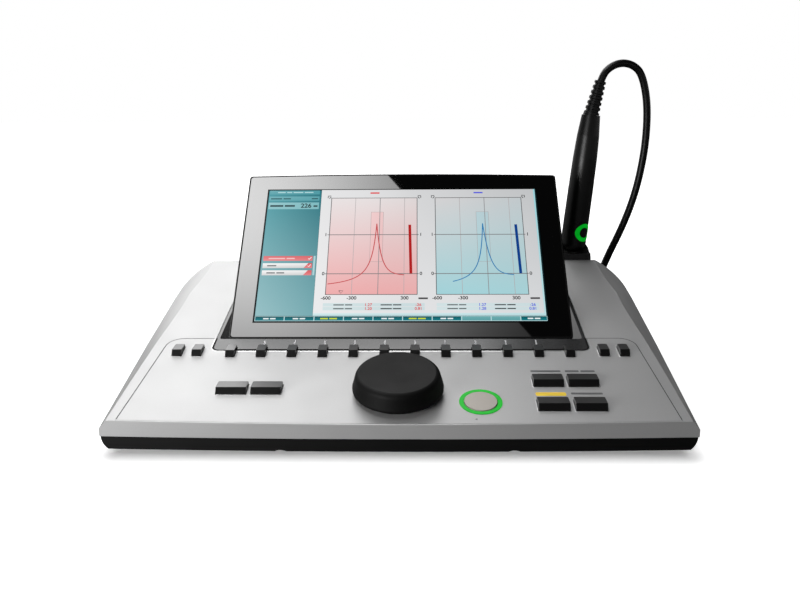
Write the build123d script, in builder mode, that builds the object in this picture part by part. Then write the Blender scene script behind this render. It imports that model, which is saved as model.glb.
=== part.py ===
from build123d import *
from math import atan2, cos, degrees, hypot, pi, radians, sin, sqrt, tan
import os

os.makedirs("parts", exist_ok=True)

# A desk tympanometer: a wedge-shaped console with a keyboard in front, a tilting display in a
# bay behind it, and a hand probe that stands in a cradle on a long cable.
# Millimetres. X to the right, Y to the back, Z up. The origin is the middle of the footprint.

# Console outline
console_width = 380.0
console_depth = 290.0
foot_height = 3.6
split_height = 12.4
lip_height = 22.3
keyboard_slope = 12.8
crest_slope = 8.5
keyboard_reach = 105.7
crest_setback = 32.0
rear_wall_height = 33.0
front_bow = 3.9
lip_radius = 0.8
crest_radius = 5.0
corner_reach = 88.0
corner_radius = 100.0
corner_turn = 50.0
cover_wall = 2.6
base_wall = 4.4
base_floor = 2.4
base_inset = 0.6
base_side_tuck = 4.3
tongue_height = 3.0
scallop_x = 74.0
scallop_radius = 9.4
scallop_depth = 0.8
seam_gap = 0.3
flat_gap = 0.1

# Shoulders, where the deck rolls over into the sides
shoulder_front = 5.0
shoulder_rear = 20.0
shoulder_drop_front = 5.8
shoulder_drop_rear = 3.7
shoulder_bulge = 0.9

# Keyboard plate
plate_thickness = 2.5
plate_side_front = 11.0
plate_side_rear = 18.0
plate_corner = 12.0
plate_rim = 0.9
landing_width = 4.0
landing_edge = 3.0

# Display bay
bay_from_side = 53.1
ledge_reach = 88.6
ledge_depth = 16.0
ledge_thickness = 2.4
ledge_corner = 5.0
bay_depth = 16.2
bay_wall = 2.2
bay_gap = 0.5

# Display
display_tilt = 45.0
glass_from_bay = 8.1
glass_height = 157.3
glass_bow = 1.8
glass_thickness = 1.8
glass_corner = 2.5
hinge_depth = 7.0
glass_lift = 0.6
hinge_from_ledge = 7.0
display_thickness = 14.0
display_wall = 2.2
lcd_border = 12.8
lcd_top_border = 10.15
lcd_thickness = 3.6
lcd_drop = 0.85
chassis_border = 8.8
chassis_top_border = 7.15
chassis_thickness = 1.2
standoff_radius = 3.0
standoff_inset = 10.0
vent_count = 15
vent_pitch = 7.0
vent_width = 2.2
vent_length = 18.0
vent_from_top = 28.0
cover_round = 3.5
hinge_pin_radius = 2.5
hinge_pin_clearance = 0.05
hinge_knuckle_radius = 5.2
hinge_lug = 5.0
hinge_lug_gap = 0.4
hinge_from_side = 13.0
hinge_pin_head = 1.0
hinge_foot_width = 16.0
hinge_foot_length = 18.0
hinge_foot_thickness = 1.4
hinge_foot_back = 3.0
hinge_notch_width = 24.0
hinge_notch_height = 8.5

# Keys
key_ridge_height = 3.8
key_back_height = 2.4
key_front_height = 0.6
key_ridge_setback = 3.3
key_clearance = 0.35
key_corner = 0.6
key_flange = 1.0
key_travel = 1.2
key_rest_gap = 0.3
soft_key_count = 12
soft_key_from_bay = 14.8
soft_key_width = 6.4
soft_key_length = 13.4
soft_key_front = 81.6
small_key_width = 6.8
small_key_front = 82.5
small_key_from_side = 29.2
small_key_pitch = 14.3
wide_key_width = 20.3
wide_key_length = 12.5
wide_keys = {
    "wide_key_left_1": (-111.5, 33.4),
    "wide_key_left_2": (-88.1, 33.4),
    "wide_key_top_1": (101.0, 43.0),
    "wide_key_top_2": (124.5, 43.0),
    "wide_key_bottom_1": (100.7, 15.0),
    "wide_key_bottom_2": (124.6, 15.0),
}

# Boards under the keyboard
switch_gap = 0.4
plunger_height = 1.0
switch_size = 6.0
switch_body_height = 2.6
key_board_thickness = 1.6
key_board_from_side = 27.0
key_board_front = 8.0
key_board_rear = 99.0

board_boss_radius = 3.0
board_boss_from_end = 13.0
board_boss_middle = 50.0
board_boss_front = 20.0
board_boss_rear = 68.0
encoder_size = 14.0

# Knob
knob_from_lip = 37.0
knob_radius = 30.4
knob_foot_radius = 27.2
knob_top_radius = 25.2
knob_height = 15.4
knob_gap = 0.8
knob_waist_height = 4.8
knob_waist = 1.6
knob_rim = 3.2
knob_dish = 0.7
shaft_radius = 3.0
shaft_clearance = 0.05
bushing_radius = 4.5

# Enter button and its lit ring
enter_x = 54.1
enter_from_lip = 25.1
enter_radius = 11.0
ring_radius = 14.06
ring_inner_radius = 11.35
enter_rise = 0.8
ring_rise = 0.4
enter_travel = 1.0
ring_foot = 3.6
ring_flange = 1.4

# Probe and cradle
probe_from_side = 33.7
probe_from_rear = 18.0
probe_seat_height = 80.7
probe_lean = 5.4
probe_radius = 11.4
probe_length = 123.0
probe_top_radius = 8.1
probe_straight = 28.0
# Heights on the probe's taper, and how far its side has drawn in by there
probe_taper = [(56.0, 0.2), (85.0, 0.7), (105.0, 1.6)]
probe_nose_round = 6.5
probe_seam = 21.5
probe_seam_tilt = 30.0
probe_seam_gap = 0.2
tip_radius = 4.4
tip_length = 18.0
tip_spigot_radius = 2.4
tip_bore = 1.0
probe_button_height = 18.4
probe_button_turn = 37.0
probe_ring_radius = 8.2
probe_ring_inner = 5.0
probe_button_travel = 0.8
probe_skin = 0.3
probe_wall = 1.8
probe_neck = 4.0
probe_button_radius = 4.6
probe_ring_foot = 6.0
boot_lean = 13.5
boot_length = 30.0
boot_base_radius = 7.0
boot_top_radius = 5.0
boot_ribs = 6
boot_groove = 1.1
boot_first_groove = 2.6
boot_groove_floor = 1.4
boot_groove_slant = 0.5
cradle_clearance = 0.3
cradle_wall = 3.2
cradle_top = 13.0
cradle_front_lip = -1.0
cradle_well_radius = 7.0
cradle_well_wall = 1.8
cradle_left = 16.5
cradle_right = 16.2
cradle_front = 14.0
cradle_back = 15.0
cradle_foot = 22.0

# Cable
cable_diameter = 6.6
cord_sides = 8
turn_pitch = 7.5
layer_pitch = 7.5
coil_x = 125.0
coil_y = 201.0
coil_start_radius = 48.0
inward_quarters = 16
climb_quarters = 2
outward_quarters = 11
lead_in = 7.0
cable_bend = 0.45

# Rear connectors, as distances from the middle
panel_half_width = 118.0
panel_height = 32.0
panel_thickness = 2.4
socket_height = 22.2
plug_x = 56.0
plug_radius = 8.0
plug_length = 31.0
plug_spigot_radius = 5.5
plug_spigot_length = 6.0
plug_grip = 5.0
plug_shoulder = 12.0
probe_socket_radius = 9.0
jack_radius = 3.2
jack_depth = 14.0
contra_jack_x = 26.0
response_jack_x = 8.0
lan_x = -16.0
usb_x = -41.0
power_jack_x = -66.0
power_jack_radius = 2.8
power_jack_depth = 9.0
switch_x = -92.0

# Boards and pump inside
board_thickness = 1.6
board_post = 8.0
board_left = -108.0
board_right = 84.0
board_depth = 110.0
post_inset = 6.0
pump_from_side = 68.0
pump_from_rear = 79.0
pump_motor_radius = 12.0
pump_motor_length = 34.0
pump_head_depth = 14.0
pump_head_width = 26.0
pump_head_corner = 3.0
hose_radius = 2.5
hose_bore = 1.4
speaker_radius = 18.0
speaker_rim = 3.0
speaker_rim_height = 3.0
speaker_plate = 2.0
speaker_magnet_height = 5.0
speaker_from_side = 50.0
speaker_y = 30.0
slot_count = 5
slot_pitch = 5.0
slot_width = 2.0
slot_length = 20.0

# Feet and screws
foot_radius = 8.0
foot_recess = 1.0
foot_chamfer = 0.8
foot_side = 42.0
foot_front = 34.0
foot_rear = 40.0
screw_head_radius = 2.8
screw_head_height = 1.9
screw_head_sink = 1.0
screw_radius = 1.4
screw_bite = 8.0
screw_end_gap = 1.0
screw_slot_length = 3.2
screw_slot_width = 0.8
screw_slot_depth = 1.0
post_radius = 4.0
post_from_side = 19.0
post_from_front = 16.0

# Values worked out from the sizes above
half_width = console_width / 2
front_y = -console_depth / 2
rear_y = console_depth / 2
bay_half_width = half_width - bay_from_side
glass_width = 2 * (bay_half_width - glass_from_bay)
lcd_width = glass_width - 2 * lcd_border
lcd_height = glass_height - 2 * lcd_top_border
lcd_lift = glass_lift + glass_height / 2 - lcd_drop
hinge_position = glass_width / 2 - hinge_from_side
soft_key_pitch = 2 * (bay_half_width - soft_key_from_bay) / (soft_key_count - 1)
small_key_outer = half_width - small_key_from_side
small_key_inner = small_key_outer - small_key_pitch
key_board_half_width = half_width - key_board_from_side
board_boss_side = key_board_half_width - board_boss_from_end
board_bosses = (
    (board_boss_side, board_boss_front),
    (board_boss_side, board_boss_rear),
    (board_boss_middle, board_boss_rear),
)
slope = radians(keyboard_slope)
end_slope = radians(crest_slope)
seam_y = front_y + keyboard_reach
crest_y = rear_y - crest_setback
seam_z = lip_height + keyboard_reach * tan(slope)
flush_angle = (slope + end_slope) / 2
crest_height = seam_z + (crest_y - seam_y) * tan(flush_angle)
deck_chord = hypot(crest_y - seam_y, crest_height - seam_z)
deck_radius = deck_chord / (2 * sin((slope - end_slope) / 2))
deck_centre_y = seam_y + deck_radius * sin(slope)
deck_centre_z = seam_z - deck_radius * cos(slope)
ledge_front_y = front_y + ledge_reach
ledge_rear_y = ledge_front_y + ledge_depth
floor_top = foot_height + base_floor
front_arc_radius = (half_width**2 + front_bow**2) / (2 * front_bow)
tight_radius = (corner_reach - corner_radius * sin(radians(corner_turn))) / (
    1 - sin(radians(corner_turn))
)
above = crest_height + 40.0
key_flange_thickness = 1.0
cord_growth = sqrt(2 * pi / (cord_sides * sin(2 * pi / cord_sides)))
cable_corner = cable_diameter / 2 * cord_growth
flange_top = plate_thickness + key_rest_gap
board_top_depth = (
    flange_top + key_flange_thickness + key_travel + switch_gap + plunger_height + switch_body_height
)
board_z = floor_top + board_post + board_thickness
pump_x = half_width - pump_from_side
pump_y = rear_y - pump_from_rear
speaker_x = speaker_from_side - half_width


def panel_z(y):
    """Height of the flat keyboard plane over the table."""
    return lip_height + (y - front_y) * tan(slope)


def flush_z(y):
    """Height of the straight line from the keyboard's rear seam to the crest."""
    return seam_z + (y - seam_y) * tan(flush_angle)


def deck_z(y):
    """Height of the deck: the keyboard plane, then one gentle arc up to the crest."""
    if y <= seam_y:
        return panel_z(y)
    return deck_centre_z + sqrt(deck_radius**2 - (deck_centre_y - y) ** 2)


def bow_y(x):
    """How far the bowed front edge falls back at x."""
    return front_arc_radius - sqrt(front_arc_radius**2 - x**2)


def from_lip(y):
    """Distance up the keyboard slope from the lip's middle to y."""
    return (y - front_y) / cos(slope)


def panel_point(x, reach, height=0.0):
    """A point on the keyboard: x, distance up the slope and height over it."""
    return Vector(
        x,
        front_y + reach * cos(slope) - height * sin(slope),
        lip_height + reach * sin(slope) + height * cos(slope),
    )


panel = Plane(
    origin=(0, front_y, lip_height), x_dir=(1, 0, 0), z_dir=(0, -sin(slope), cos(slope))
)

# The display hinge lies so that the folded glass is flush with the deck's straight line.
hinge_y = ledge_rear_y + hinge_from_ledge
hinge_z = flush_z(hinge_y) - hinge_depth / cos(flush_angle)
tilt = radians(display_tilt)
display_plane = Plane(
    origin=(0, hinge_y, hinge_z), x_dir=(1, 0, 0), z_dir=(0, -sin(tilt), cos(tilt))
)


def side_profile(inset, floor_z):
    """The console from its right side: front face, keyboard, arched deck, rear slope, rear."""
    with BuildSketch(Plane.YZ, mode=Mode.PRIVATE) as profile:
        with BuildLine():
            face = Line((front_y, floor_z), (front_y, lip_height))
            keys = Line(face @ 1, (seam_y, seam_z))
            deck = TangentArc(keys @ 1, (crest_y, crest_height), tangent=keys % 1)
            fall = Line(deck @ 1, (rear_y, rear_wall_height))
            Polyline(fall @ 1, (rear_y, floor_z), (front_y, floor_z))
        make_face()
        corners = profile.vertices()
        fillet(corners.sort_by_distance((front_y, lip_height))[0], lip_radius)
        crest = profile.vertices().sort_by_distance((crest_y, crest_height))[0]
        fillet(crest, crest_radius)
        knee = profile.vertices().sort_by_distance((rear_y, rear_wall_height))[0]
        fillet(knee, crest_radius)
        if inset:
            offset(amount=-inset, kind=Kind.INTERSECTION, mode=Mode.REPLACE)
    return profile.sketch


def plan_outline(inset):
    """The console from above: bowed front, straight sides and long rounded rear corners."""
    with BuildSketch(Plane.XY, mode=Mode.PRIVATE) as plan:
        with BuildLine() as outline:
            bow = ThreePointArc(
                (0, front_y),
                (half_width / 2, front_y + bow_y(half_width / 2)),
                (half_width, front_y + front_bow),
            )
            side = Line(bow @ 1, (half_width, rear_y - corner_reach))
            wide = JernArc(side @ 1, (0, 1), corner_radius, corner_turn)
            tight = JernArc(wide @ 1, wide % 1, tight_radius, 90 - corner_turn)
            Line(tight @ 1, (0, rear_y))
            mirror(outline.line, about=Plane.YZ)
        make_face()
        if inset:
            offset(amount=-inset, kind=Kind.INTERSECTION, mode=Mode.REPLACE)
    return plan.sketch


def shoulder_cutter(inset):
    """What lies outside the right shoulder, which widens and softens towards the back."""
    middle_y = (seam_y + crest_y) / 2
    stations = [front_y - 4, seam_y, middle_y, crest_y, rear_y + 4]
    with BuildPart() as cutter:
        for y in stations:
            share = (y - front_y) / console_depth
            crease = half_width - shoulder_front - (shoulder_rear - shoulder_front) * share
            drop = shoulder_drop_front + (shoulder_drop_rear - shoulder_drop_front) * share
            fall = drop / (half_width - crease)
            lead = 3.0
            edge_z = deck_z(y) - drop - inset
            start = (crease - lead - inset, deck_z(y) + lead * fall - inset)
            edge = (half_width - inset, edge_z)
            bulge = 0.1 + shoulder_bulge * max(share, 0)
            middle = ((start[0] + edge[0]) / 2, (start[1] + edge[1]) / 2 + bulge)
            with BuildSketch(Plane.XZ.offset(-y)):
                with BuildLine():
                    ThreePointArc(start, middle, edge)
                    Line(edge, (half_width + 30, edge_z - 30 * fall))
                    Line((half_width + 30, edge_z - 30 * fall), (half_width + 30, edge_z + 60))
                    Line((half_width + 30, edge_z + 60), (start[0], edge_z + 60))
                    Line((start[0], edge_z + 60), start)
                make_face()
        loft(ruled=True)
    return cutter.part


def console_form(inset, floor_z):
    """The console as one solid, with its faces moved in by inset, from floor_z up."""
    shoulder = shoulder_cutter(inset)
    with BuildPart() as form:
        extrude(side_profile(inset, floor_z), amount=half_width + 10, both=True)
        extrude(plan_outline(inset), amount=above, mode=Mode.INTERSECT)
        add(shoulder, mode=Mode.SUBTRACT)
        add(shoulder.mirror(Plane.YZ), mode=Mode.SUBTRACT)
    return form.part


def bay_block(grow):
    """The space of the bay liner, grown on all sides, open at the top and the back."""
    under = ledge_thickness / cos(slope) + grow
    front = ledge_front_y - grow
    wall = ledge_rear_y - bay_wall - grow
    bottom = (bay_depth + bay_wall) / cos(flush_angle) + grow
    end = rear_y + 20
    with BuildPart() as block:
        with BuildSketch(Plane.YZ):
            with BuildLine():
                Polyline(
                    (front, above),
                    (front, panel_z(front) - under),
                    (wall, panel_z(wall) - under),
                    (wall, flush_z(wall) - bottom),
                    (end, flush_z(end) - bottom),
                    (end, above),
                    (front, above),
                )
            make_face()
        extrude(amount=bay_half_width + grow, both=True)
        front_corners = block.edges().filter_by(Axis.Z).group_by(Axis.Y)[0]
        fillet(front_corners, ledge_corner + grow)
    return block.part


def bay_cavity():
    """The hollow of the bay, from its floor up and out through the crest."""
    bottom = bay_depth / cos(flush_angle)
    end = rear_y + 20
    with BuildPart() as cavity:
        with BuildSketch(Plane.YZ):
            with BuildLine():
                Polyline(
                    (ledge_rear_y, above),
                    (ledge_rear_y, flush_z(ledge_rear_y) - bottom),
                    (end, flush_z(end) - bottom),
                    (end, above),
                    (ledge_rear_y, above),
                )
            make_face()
        extrude(amount=bay_half_width - bay_wall, both=True)
        fillet(cavity.edges().filter_by(Axis.Z).group_by(Axis.Y)[0], bay_wall)
    return cavity.part


def keyboard_outline(grow):
    """Outline of the keyboard plate on the panel plane, with the notch for the display bay."""
    front_half = half_width - plate_side_front
    rear_half = half_width - plate_side_rear
    with BuildSketch(panel, mode=Mode.PRIVATE) as outline:
        with BuildLine() as edge:
            ThreePointArc(
                (0, plate_rim - grow),
                (front_half / 2, plate_rim - grow + bow_y(front_half / 2)),
                (front_half + grow, plate_rim - grow + bow_y(front_half)),
            )
            Line(edge.line @ 1, (rear_half + grow, from_lip(seam_y) + grow))
            Line((rear_half + grow, from_lip(seam_y) + grow), (0, from_lip(seam_y) + grow))
            mirror(edge.line, about=Plane.YZ)
        make_face()
        fillet(outline.vertices().group_by(Axis.Y)[-1].group_by(Axis.X)[0], plate_corner + grow)
        fillet(outline.vertices().group_by(Axis.Y)[-1].group_by(Axis.X)[-1], plate_corner + grow)
    return outline.sketch


key_places = {}
for number in range(soft_key_count):
    x = (number - (soft_key_count - 1) / 2) * soft_key_pitch
    key_places[f"soft_key_{number + 1:02d}"] = (x, soft_key_front, soft_key_width, soft_key_length)
for name, x in (
    ("small_key_left_1", -small_key_outer),
    ("small_key_left_2", -small_key_inner),
    ("small_key_right_1", small_key_inner),
    ("small_key_right_2", small_key_outer),
):
    key_places[name] = (x, small_key_front, small_key_width, soft_key_length)
for name, (x, reach) in wide_keys.items():
    key_places[name] = (x, reach, wide_key_width, wide_key_length)


def key_openings():
    """One cutter for every key cut-out, through the plate and the liner's ledge."""
    with BuildPart() as cutter:
        for x, reach, width, length in key_places.values():
            middle = panel_point(x, reach + length / 2)
            spot = Plane(origin=middle, x_dir=(1, 0, 0), z_dir=panel.z_dir)
            opening = (width + 2 * key_clearance, length + 2 * key_clearance)
            with BuildSketch(spot.offset(-plate_thickness - 1)):
                Rectangle(*opening)
            extrude(amount=plate_thickness + 2)
    return cutter.part


# The black base tray with its connector wall, foot recesses, posts and speaker slots
foot_places = [
    (side * (half_width - foot_side), y)
    for side in (-1, 1)
    for y in (front_y + foot_front, rear_y - foot_rear)
]
post_places = [
    (side * x, y)
    for side in (-1, 1)
    for x, y in (
        (half_width - post_from_side, front_y + post_from_front),
        (half_width - post_from_side + 3, seam_y + 20),
        (bay_half_width + 9, rear_y - 60),
    )
]
board_middle = ((board_left + board_right) / 2, rear_y - 8 - board_depth / 2)
board_reach = ((board_right - board_left) / 2 - post_inset, board_depth / 2 - post_inset)
board_posts = [
    (board_middle[0] + side * board_reach[0], board_middle[1] + end * board_reach[1])
    for side in (-1, 1)
    for end in (-1, 1)
]
lan_size = (16.0, 13.4)
usb_size = (14.6, 7.2)
rocker_size = (19.0, 12.6)
connector_gap = 0.3
with BuildPart() as base_shell:
    extrude(plan_outline(base_inset), amount=split_height - flat_gap)
    with BuildSketch(Plane.XZ):
        with BuildLine():
            tuck = TangentArc(
                (half_width - base_inset, split_height),
                (half_width - base_inset - base_side_tuck, foot_height),
                tangent=(0, -1),
            )
            Line(tuck @ 1, (-half_width + base_inset + base_side_tuck, foot_height))
            far_tuck = TangentArc(
                (-half_width + base_inset, split_height),
                (-half_width + base_inset + base_side_tuck, foot_height),
                tangent=(0, -1),
            )
            Line(far_tuck @ 0, tuck @ 0)
        make_face()
    extrude(amount=console_depth, both=True, mode=Mode.INTERSECT)
    # The hollow of the tray
    with BuildSketch(Plane.XY.offset(floor_top)):
        add(plan_outline(base_wall))
    extrude(amount=split_height, mode=Mode.SUBTRACT)
    # A tongue that locates the cover from inside
    with BuildSketch(Plane.XY.offset(split_height - tongue_height)):
        add(plan_outline(cover_wall + seam_gap))
        add(plan_outline(base_wall), mode=Mode.SUBTRACT)
    extrude(amount=2 * tongue_height)
    # The connector wall at the rear
    with BuildSketch(Plane.XY.offset(split_height - tongue_height)):
        add(plan_outline(base_inset))
        add(plan_outline(base_inset + panel_thickness), mode=Mode.SUBTRACT)
        with Locations((0, rear_y)):
            Rectangle(2 * panel_half_width, corner_reach, mode=Mode.INTERSECT)
    extrude(amount=panel_height - split_height + tongue_height)
    # Posts for the cover screws and for the main board
    with BuildSketch(Plane.XY.offset(floor_top - 1)):
        with Locations(post_places):
            Circle(post_radius)
    extrude(amount=split_height - floor_top + 1)
    with BuildSketch(Plane.XY.offset(floor_top - 1)):
        with Locations(board_posts):
            Circle(post_radius)
    extrude(amount=board_post + 1)
    # Screw holes with head recesses from below
    with Locations([(x, y, split_height) for x, y in post_places]):
        Hole(screw_radius + 0.3, depth=split_height)
    with BuildSketch(Plane.XY.offset(foot_height)):
        with Locations(post_places):
            Circle(screw_head_radius + seam_gap)
    extrude(amount=screw_head_sink + screw_head_height + flat_gap, mode=Mode.SUBTRACT)
    # Seats for the rubber feet
    with BuildSketch(Plane.XY.offset(foot_height)):
        with Locations(foot_places):
            Circle(foot_radius + 0.2)
    extrude(amount=foot_recess, mode=Mode.SUBTRACT)
    # Slots under the speaker
    with BuildSketch(Plane.XY.offset(foot_height)):
        with Locations((speaker_x, speaker_y)):
            with GridLocations(slot_pitch, 1, slot_count, 1):
                SlotOverall(slot_length, slot_width, rotation=90)
    extrude(amount=base_floor + 1, mode=Mode.SUBTRACT)
    # Openings in the connector wall
    with BuildSketch(Plane.XZ.offset(-rear_y)):
        with Locations((lan_x, board_z + lan_size[1] / 2)):
            Rectangle(lan_size[0] + 2 * connector_gap, lan_size[1] + 2 * connector_gap)
        with Locations((usb_x, board_z + usb_size[1] / 2)):
            Rectangle(usb_size[0] + 2 * connector_gap, usb_size[1] + 2 * connector_gap)
        with Locations((switch_x, socket_height)):
            Rectangle(rocker_size[0] + 2 * connector_gap, rocker_size[1] + 2 * connector_gap)
        with Locations((contra_jack_x, socket_height), (response_jack_x, socket_height)):
            Circle(5.0 + connector_gap)
        with Locations((power_jack_x, socket_height)):
            Circle(5.5 + connector_gap)
        with Locations((plug_x, socket_height)):
            Circle(probe_socket_radius + connector_gap)
    extrude(amount=8, both=True, mode=Mode.SUBTRACT)
    # Shallow finger scallops in the lower front edge
    with BuildSketch(Plane.XZ.offset(-front_y + 5)):
        scallop_z = foot_height + scallop_depth - scallop_radius
        with Locations((-scallop_x, scallop_z), (scallop_x, scallop_z)):
            Circle(scallop_radius)
    extrude(amount=-12, mode=Mode.SUBTRACT)
base_shell.part.label = "base_shell"
export_step(base_shell.part, "parts/base_shell.step")

# The probe stands on its rounded end at seat_point; its own plane has its axis as local Y.
lean = radians(probe_lean)
well_depth = tip_length + 3.0
seat_point = Vector(half_width - probe_from_side, rear_y - probe_from_rear, probe_seat_height)
probe_axis = Vector(sin(lean), 0, cos(lean))
probe_side = Vector(cos(lean), 0, -sin(lean))
probe_section = Plane(origin=seat_point, x_dir=probe_side, z_dir=(0, -1, 0))
probe_line = Axis(seat_point, probe_axis)


def along_probe(distance, radius=0.0):
    """Plane square to the probe's axis, at a distance up from its rounded end."""
    return Plane(origin=seat_point + probe_axis * distance, x_dir=probe_side, z_dir=probe_axis)


outer_form = console_form(0, 0)
inner_form = console_form(cover_wall, -10)
key_cutter = key_openings()
liner_block = bay_block(0)
bay_opening = bay_block(bay_gap)

# Landing of the cover under the edge of the keyboard plate
with BuildPart() as landing:
    extrude(keyboard_outline(landing_edge), amount=-plate_thickness - cover_wall)
    extrude(keyboard_outline(-landing_width), amount=-plate_thickness - cover_wall, mode=Mode.SUBTRACT)

# The silver cover: a hollow shell with a landing for the keyboard plate
with BuildPart() as top_shell:
    add(outer_form)
    add(inner_form, mode=Mode.SUBTRACT)
    add(landing.part)
    # Posts for the case screws
    with BuildSketch(Plane.XY):
        with Locations(post_places):
            Circle(post_radius)
    extrude(amount=above)
    add(outer_form, mode=Mode.INTERSECT)
    with BuildSketch(Plane.XY):
        Rectangle(2 * console_width, 2 * console_depth)
    extrude(amount=split_height, mode=Mode.SUBTRACT)
    with Locations([(x, y, split_height + screw_bite) for x, y in post_places]):
        Hole(screw_radius + 0.05, depth=screw_bite)
    # Seat and opening of the keyboard plate
    extrude(keyboard_outline(0), amount=2, mode=Mode.SUBTRACT)
    extrude(keyboard_outline(0), amount=-plate_thickness - flat_gap, mode=Mode.SUBTRACT)
    extrude(keyboard_outline(-landing_width), amount=-30, mode=Mode.SUBTRACT)
    # Bay and connector window
    add(bay_opening, mode=Mode.SUBTRACT)
    with BuildSketch(Plane.XY.offset(split_height)):
        with Locations((0, rear_y)):
            Rectangle(2 * panel_half_width + 2 * seam_gap, 8 * cover_wall)
    extrude(amount=panel_height + seam_gap - split_height, mode=Mode.SUBTRACT)
    # Hole for the cradle's well
    with BuildSketch(along_probe(-well_depth - 1)):
        Circle(cradle_well_radius + cradle_well_wall + seam_gap)
    extrude(amount=well_depth + 10, mode=Mode.SUBTRACT)
top_shell.part.label = "top_shell"
export_step(top_shell.part, "parts/top_shell.step")

# The dark liner of the bay, with the ledge that carries the soft keys' marks
cavity_block = bay_cavity()
with BuildPart() as display_bay:
    add(liner_block)
    add(outer_form, mode=Mode.INTERSECT)
    add(cavity_block, mode=Mode.SUBTRACT)
    add(key_cutter, mode=Mode.SUBTRACT)
display_bay.part.label = "display_bay"
export_step(display_bay.part, "parts/display_bay.step")

# The silver keyboard plate, with bosses that carry the key board
with BuildPart() as keyboard_plate:
    extrude(keyboard_outline(-seam_gap), amount=-plate_thickness)
    add(bay_opening, mode=Mode.SUBTRACT)
    add(key_cutter, mode=Mode.SUBTRACT)
    with BuildSketch(panel.offset(-board_top_depth + flat_gap)):
        with Locations([(side * x, y) for side in (-1, 1) for x, y in board_bosses]):
            Circle(board_boss_radius)
    extrude(amount=board_top_depth - plate_thickness / 2)
    with BuildSketch(panel):
        with Locations((0, knob_from_lip)):
            Circle(bushing_radius + seam_gap)
        with Locations((enter_x, enter_from_lip)):
            Circle(ring_radius + flat_gap)
    extrude(amount=-plate_thickness, mode=Mode.SUBTRACT)
keyboard_plate.part.label = "keyboard_plate"
export_step(keyboard_plate.part, "parts/keyboard_plate.step")


# Keys: a wedge with a ridge near its front, held down by a flange under the plate
for name, (x, reach, width, length) in key_places.items():
    side = Plane(
        origin=panel_point(x - width / 2, reach), x_dir=(0, cos(slope), sin(slope)), z_dir=(1, 0, 0)
    )
    with BuildPart() as key:
        with BuildSketch(side):
            with BuildLine():
                Polyline(
                    (0, -flange_top),
                    (0, key_front_height),
                    (key_ridge_setback, key_ridge_height),
                    (length, key_back_height),
                    (length, -flange_top),
                    (0, -flange_top),
                )
            make_face()
        extrude(amount=width)
        chamfer(key.edges().filter_by(Axis((0, 0, 0), panel.z_dir)), key_corner)
        with BuildSketch(panel.offset(-flange_top - key_flange_thickness)):
            with Locations((x, reach + length / 2)):
                Rectangle(width + 2 * key_flange, length + 2 * key_flange)
        extrude(amount=key_flange_thickness)
    key.part.label = name
    export_step(key.part, f"parts/{name}.step")

# The enter button: a metal disc with a flange under the lit ring
with BuildPart() as enter_button:
    with BuildSketch(panel.offset(-ring_foot - key_rest_gap - key_flange_thickness)):
        with Locations((enter_x, enter_from_lip)):
            Circle(ring_inner_radius + key_flange)
    extrude(amount=key_flange_thickness)
    with BuildSketch(panel.offset(-ring_foot - key_rest_gap)):
        with Locations((enter_x, enter_from_lip)):
            Circle(enter_radius)
    extrude(amount=ring_foot + key_rest_gap + enter_rise)
    rim = enter_button.edges().filter_by(GeomType.CIRCLE).sort_by(Axis((0, 0, 0), panel.z_dir))[-1]
    chamfer(rim, enter_rise / 2)
enter_button.part.label = "enter_button"
export_step(enter_button.part, "parts/enter_button.step")

with BuildPart() as enter_light_ring:
    with BuildSketch(panel.offset(-ring_foot)):
        with Locations((enter_x, enter_from_lip)):
            Circle(ring_radius + ring_flange)
            Circle(ring_inner_radius, mode=Mode.SUBTRACT)
    extrude(amount=ring_foot - plate_thickness - flat_gap)
    with BuildSketch(panel.offset(-ring_foot)):
        with Locations((enter_x, enter_from_lip)):
            Circle(ring_radius)
            Circle(ring_inner_radius, mode=Mode.SUBTRACT)
    extrude(amount=ring_foot + ring_rise)
enter_light_ring.part.label = "enter_light_ring"
export_step(enter_light_ring.part, "parts/enter_light_ring.step")

# The key board and its switches, one under each key and a lower one under the enter button
with BuildPart() as key_board:
    with BuildSketch(panel.offset(-board_top_depth - key_board_thickness)):
        with Locations((0, (key_board_front + key_board_rear) / 2)):
            Rectangle(2 * key_board_half_width, key_board_rear - key_board_front)
    extrude(amount=key_board_thickness)
key_board.part.label = "key_board"
export_step(key_board.part, "parts/key_board.step")

switch_spots = [(x, reach + length / 2) for x, reach, width, length in key_places.values()]
with BuildPart() as key_switches:
    with BuildSketch(panel.offset(-board_top_depth)):
        with Locations(switch_spots):
            Rectangle(switch_size, switch_size)
    extrude(amount=switch_body_height)
    with BuildSketch(panel.offset(-board_top_depth + switch_body_height)):
        with Locations(switch_spots):
            Rectangle(switch_size / 2, switch_size / 2)
    extrude(amount=plunger_height)
    with BuildSketch(panel.offset(-board_top_depth)):
        with Locations((enter_x, enter_from_lip)):
            Rectangle(switch_size, switch_size)
    extrude(amount=switch_body_height - switch_gap)
key_switches.part.label = "key_switches"
export_step(key_switches.part, "parts/key_switches.step")

# The encoder with its bushing, the D-shaft and the knob
with BuildPart() as knob_encoder:
    with BuildSketch(panel.offset(-board_top_depth)):
        with Locations((0, knob_from_lip)):
            Rectangle(encoder_size, encoder_size)
    extrude(amount=board_top_depth - plate_thickness - key_flange_thickness)
    with BuildSketch(panel.offset(-plate_thickness - key_flange_thickness)):
        with Locations((0, knob_from_lip)):
            Circle(bushing_radius)
    extrude(amount=plate_thickness + key_flange_thickness + knob_gap - seam_gap)
    with BuildSketch(panel.offset(-board_top_depth + key_board_thickness)):
        with Locations((0, knob_from_lip)):
            Circle(shaft_radius + shaft_clearance)
    extrude(amount=board_top_depth + knob_gap, mode=Mode.SUBTRACT)
knob_encoder.part.label = "knob_encoder"
export_step(knob_encoder.part, "parts/knob_encoder.step")


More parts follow.
